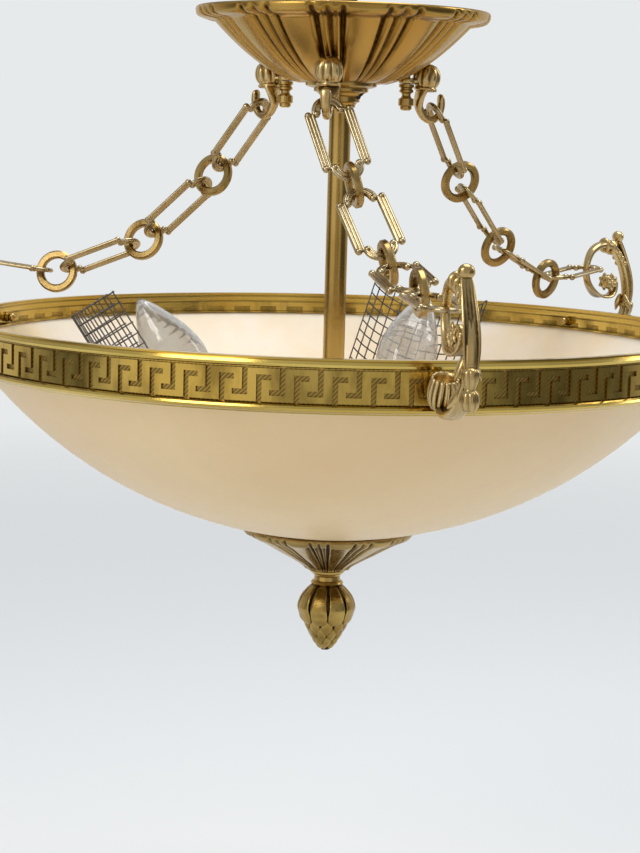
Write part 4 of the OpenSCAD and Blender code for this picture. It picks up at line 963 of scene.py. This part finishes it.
def makeStage(v):
    turns = np.linspace(0, 2 * math.pi, v["columns"], endpoint=False)
    radius = v["radius"] * mm
    verts = [(radius * math.cos(a), radius * math.sin(a), v["floor"] * mm) for a in turns]
    mesh = bpy.data.meshes.new("studioFloor")
    mesh.from_pydata(verts, [], [tuple(range(v["columns"]))])
    floor = bpy.data.objects.new("studioFloor", mesh)
    scene.collection.objects.link(floor)
    material, g = newMaterial("palePaper")
    x, y, z = g.split(g.out("ShaderNodeTexCoord", output="Object"))
    edge = ((x * x + y * y) ** 0.5).ramp(v["fade"][0] * mm, v["fade"][1] * mm)
    paper = g.out("ShaderNodeBsdfPrincipled", None, {"Base Color": (*v["colour"], 1.0), "Roughness": 0.9})
    clear = g.out("ShaderNodeBsdfTransparent")
    faded = g.out("ShaderNodeMixShader", None, {0: edge, 1: paper, 2: clear})
    g.add("ShaderNodeOutputMaterial", None, {"Surface": faded})
    mesh.materials.append(material)


makeStage(stageValues)

lampValues = {                                     # metres and watts
    "keyLight": {"place": (-1.3, -1.5, 1.1), "size": (0.9, 0.9), "power": 15, "colour": (1.0, 0.97, 0.93)},
    "topLight": {"place": (0.3, 0.2, 1.5), "size": (1.4, 1.0), "power": 20, "colour": (1.0, 1.0, 1.0)},
    "rimLight": {"place": (1.7, 0.5, 0.9), "size": (0.5, 1.0), "power": 7, "colour": (0.96, 0.98, 1.0)},
}
aim = Vector((0, 0, -0.18))


def makeLight(name, v):
    data = bpy.data.lights.new(name, "AREA")
    data.shape = "RECTANGLE"
    data.size, data.size_y = v["size"]
    data.energy = v["power"]
    data.color = v["colour"]
    light = bpy.data.objects.new(name, data)
    light.location = v["place"]
    light.rotation_euler = (aim - Vector(v["place"])).to_track_quat("-Z", "Y").to_euler()
    scene.collection.objects.link(light)


for name, values in lampValues.items():
    makeLight(name, values)

worldValues = {
    "sky": (0.50, 0.53, 0.57), "room": (0.065, 0.06, 0.055), "low": 0.05, "high": 0.6,
    "glow": (1.0, 0.94, 0.86), "glowHigh": (0.2, 0.45),
    # soft windows: bearing in degrees, level
    "windows": [(-180, 0.75), (-115, 0.75), (-90, 0.0), (-80, 0.0), (-60, 1.0), (-24, 1.0), (-14, 0.40),
                (24, 0.62), (36, 0.62), (50, 0.0), (95, 0.0), (120, 0.75), (180, 0.75)],
    "backdrop": (0.80, 0.82, 0.83), "mirrored": 0.1,      # pale surroundings, and their share in the metal
}


def makeWorld(v):                                 # bright ceiling, darker room with windows
    world = bpy.data.worlds.new("studio")
    scene.world = world
    world.use_nodes = True
    world.node_tree.nodes.clear()
    g = Graph(world.node_tree)
    x, y, z = g.split(g.out("ShaderNodeTexCoord", output="Generated"))
    tone = g.mixColour(z.ramp(v["low"], v["high"]), v["room"], v["sky"])
    bearing = x.arctan2(0.0 - y) / (2 * math.pi) + 0.5
    stops = [(b / 360 + 0.5, (level,) * 3) for b, level in v["windows"]]
    panel = g.out("ShaderNodeValToRGB", {"stops": stops}, {"Fac": bearing}) * z.ramp(*v["glowHigh"], 1.0, 0.0)
    tone = g.mixColour(panel, tone, v["glow"])
    straight, through, mirrored = (g.out("ShaderNodeLightPath", output=f"Is {ray} Ray")
                                   for ray in ("Camera", "Transmission", "Glossy"))
    seen = (straight + through + mirrored * v["mirrored"]).least(1.0)
    tone = g.mixColour(seen, tone, v["backdrop"])
    shade = g.out("ShaderNodeBackground", None, {"Color": tone, "Strength": 1.0})
    g.add("ShaderNodeOutputWorld", None, {"Surface": shade})


makeWorld(worldValues)
print("stage lit")
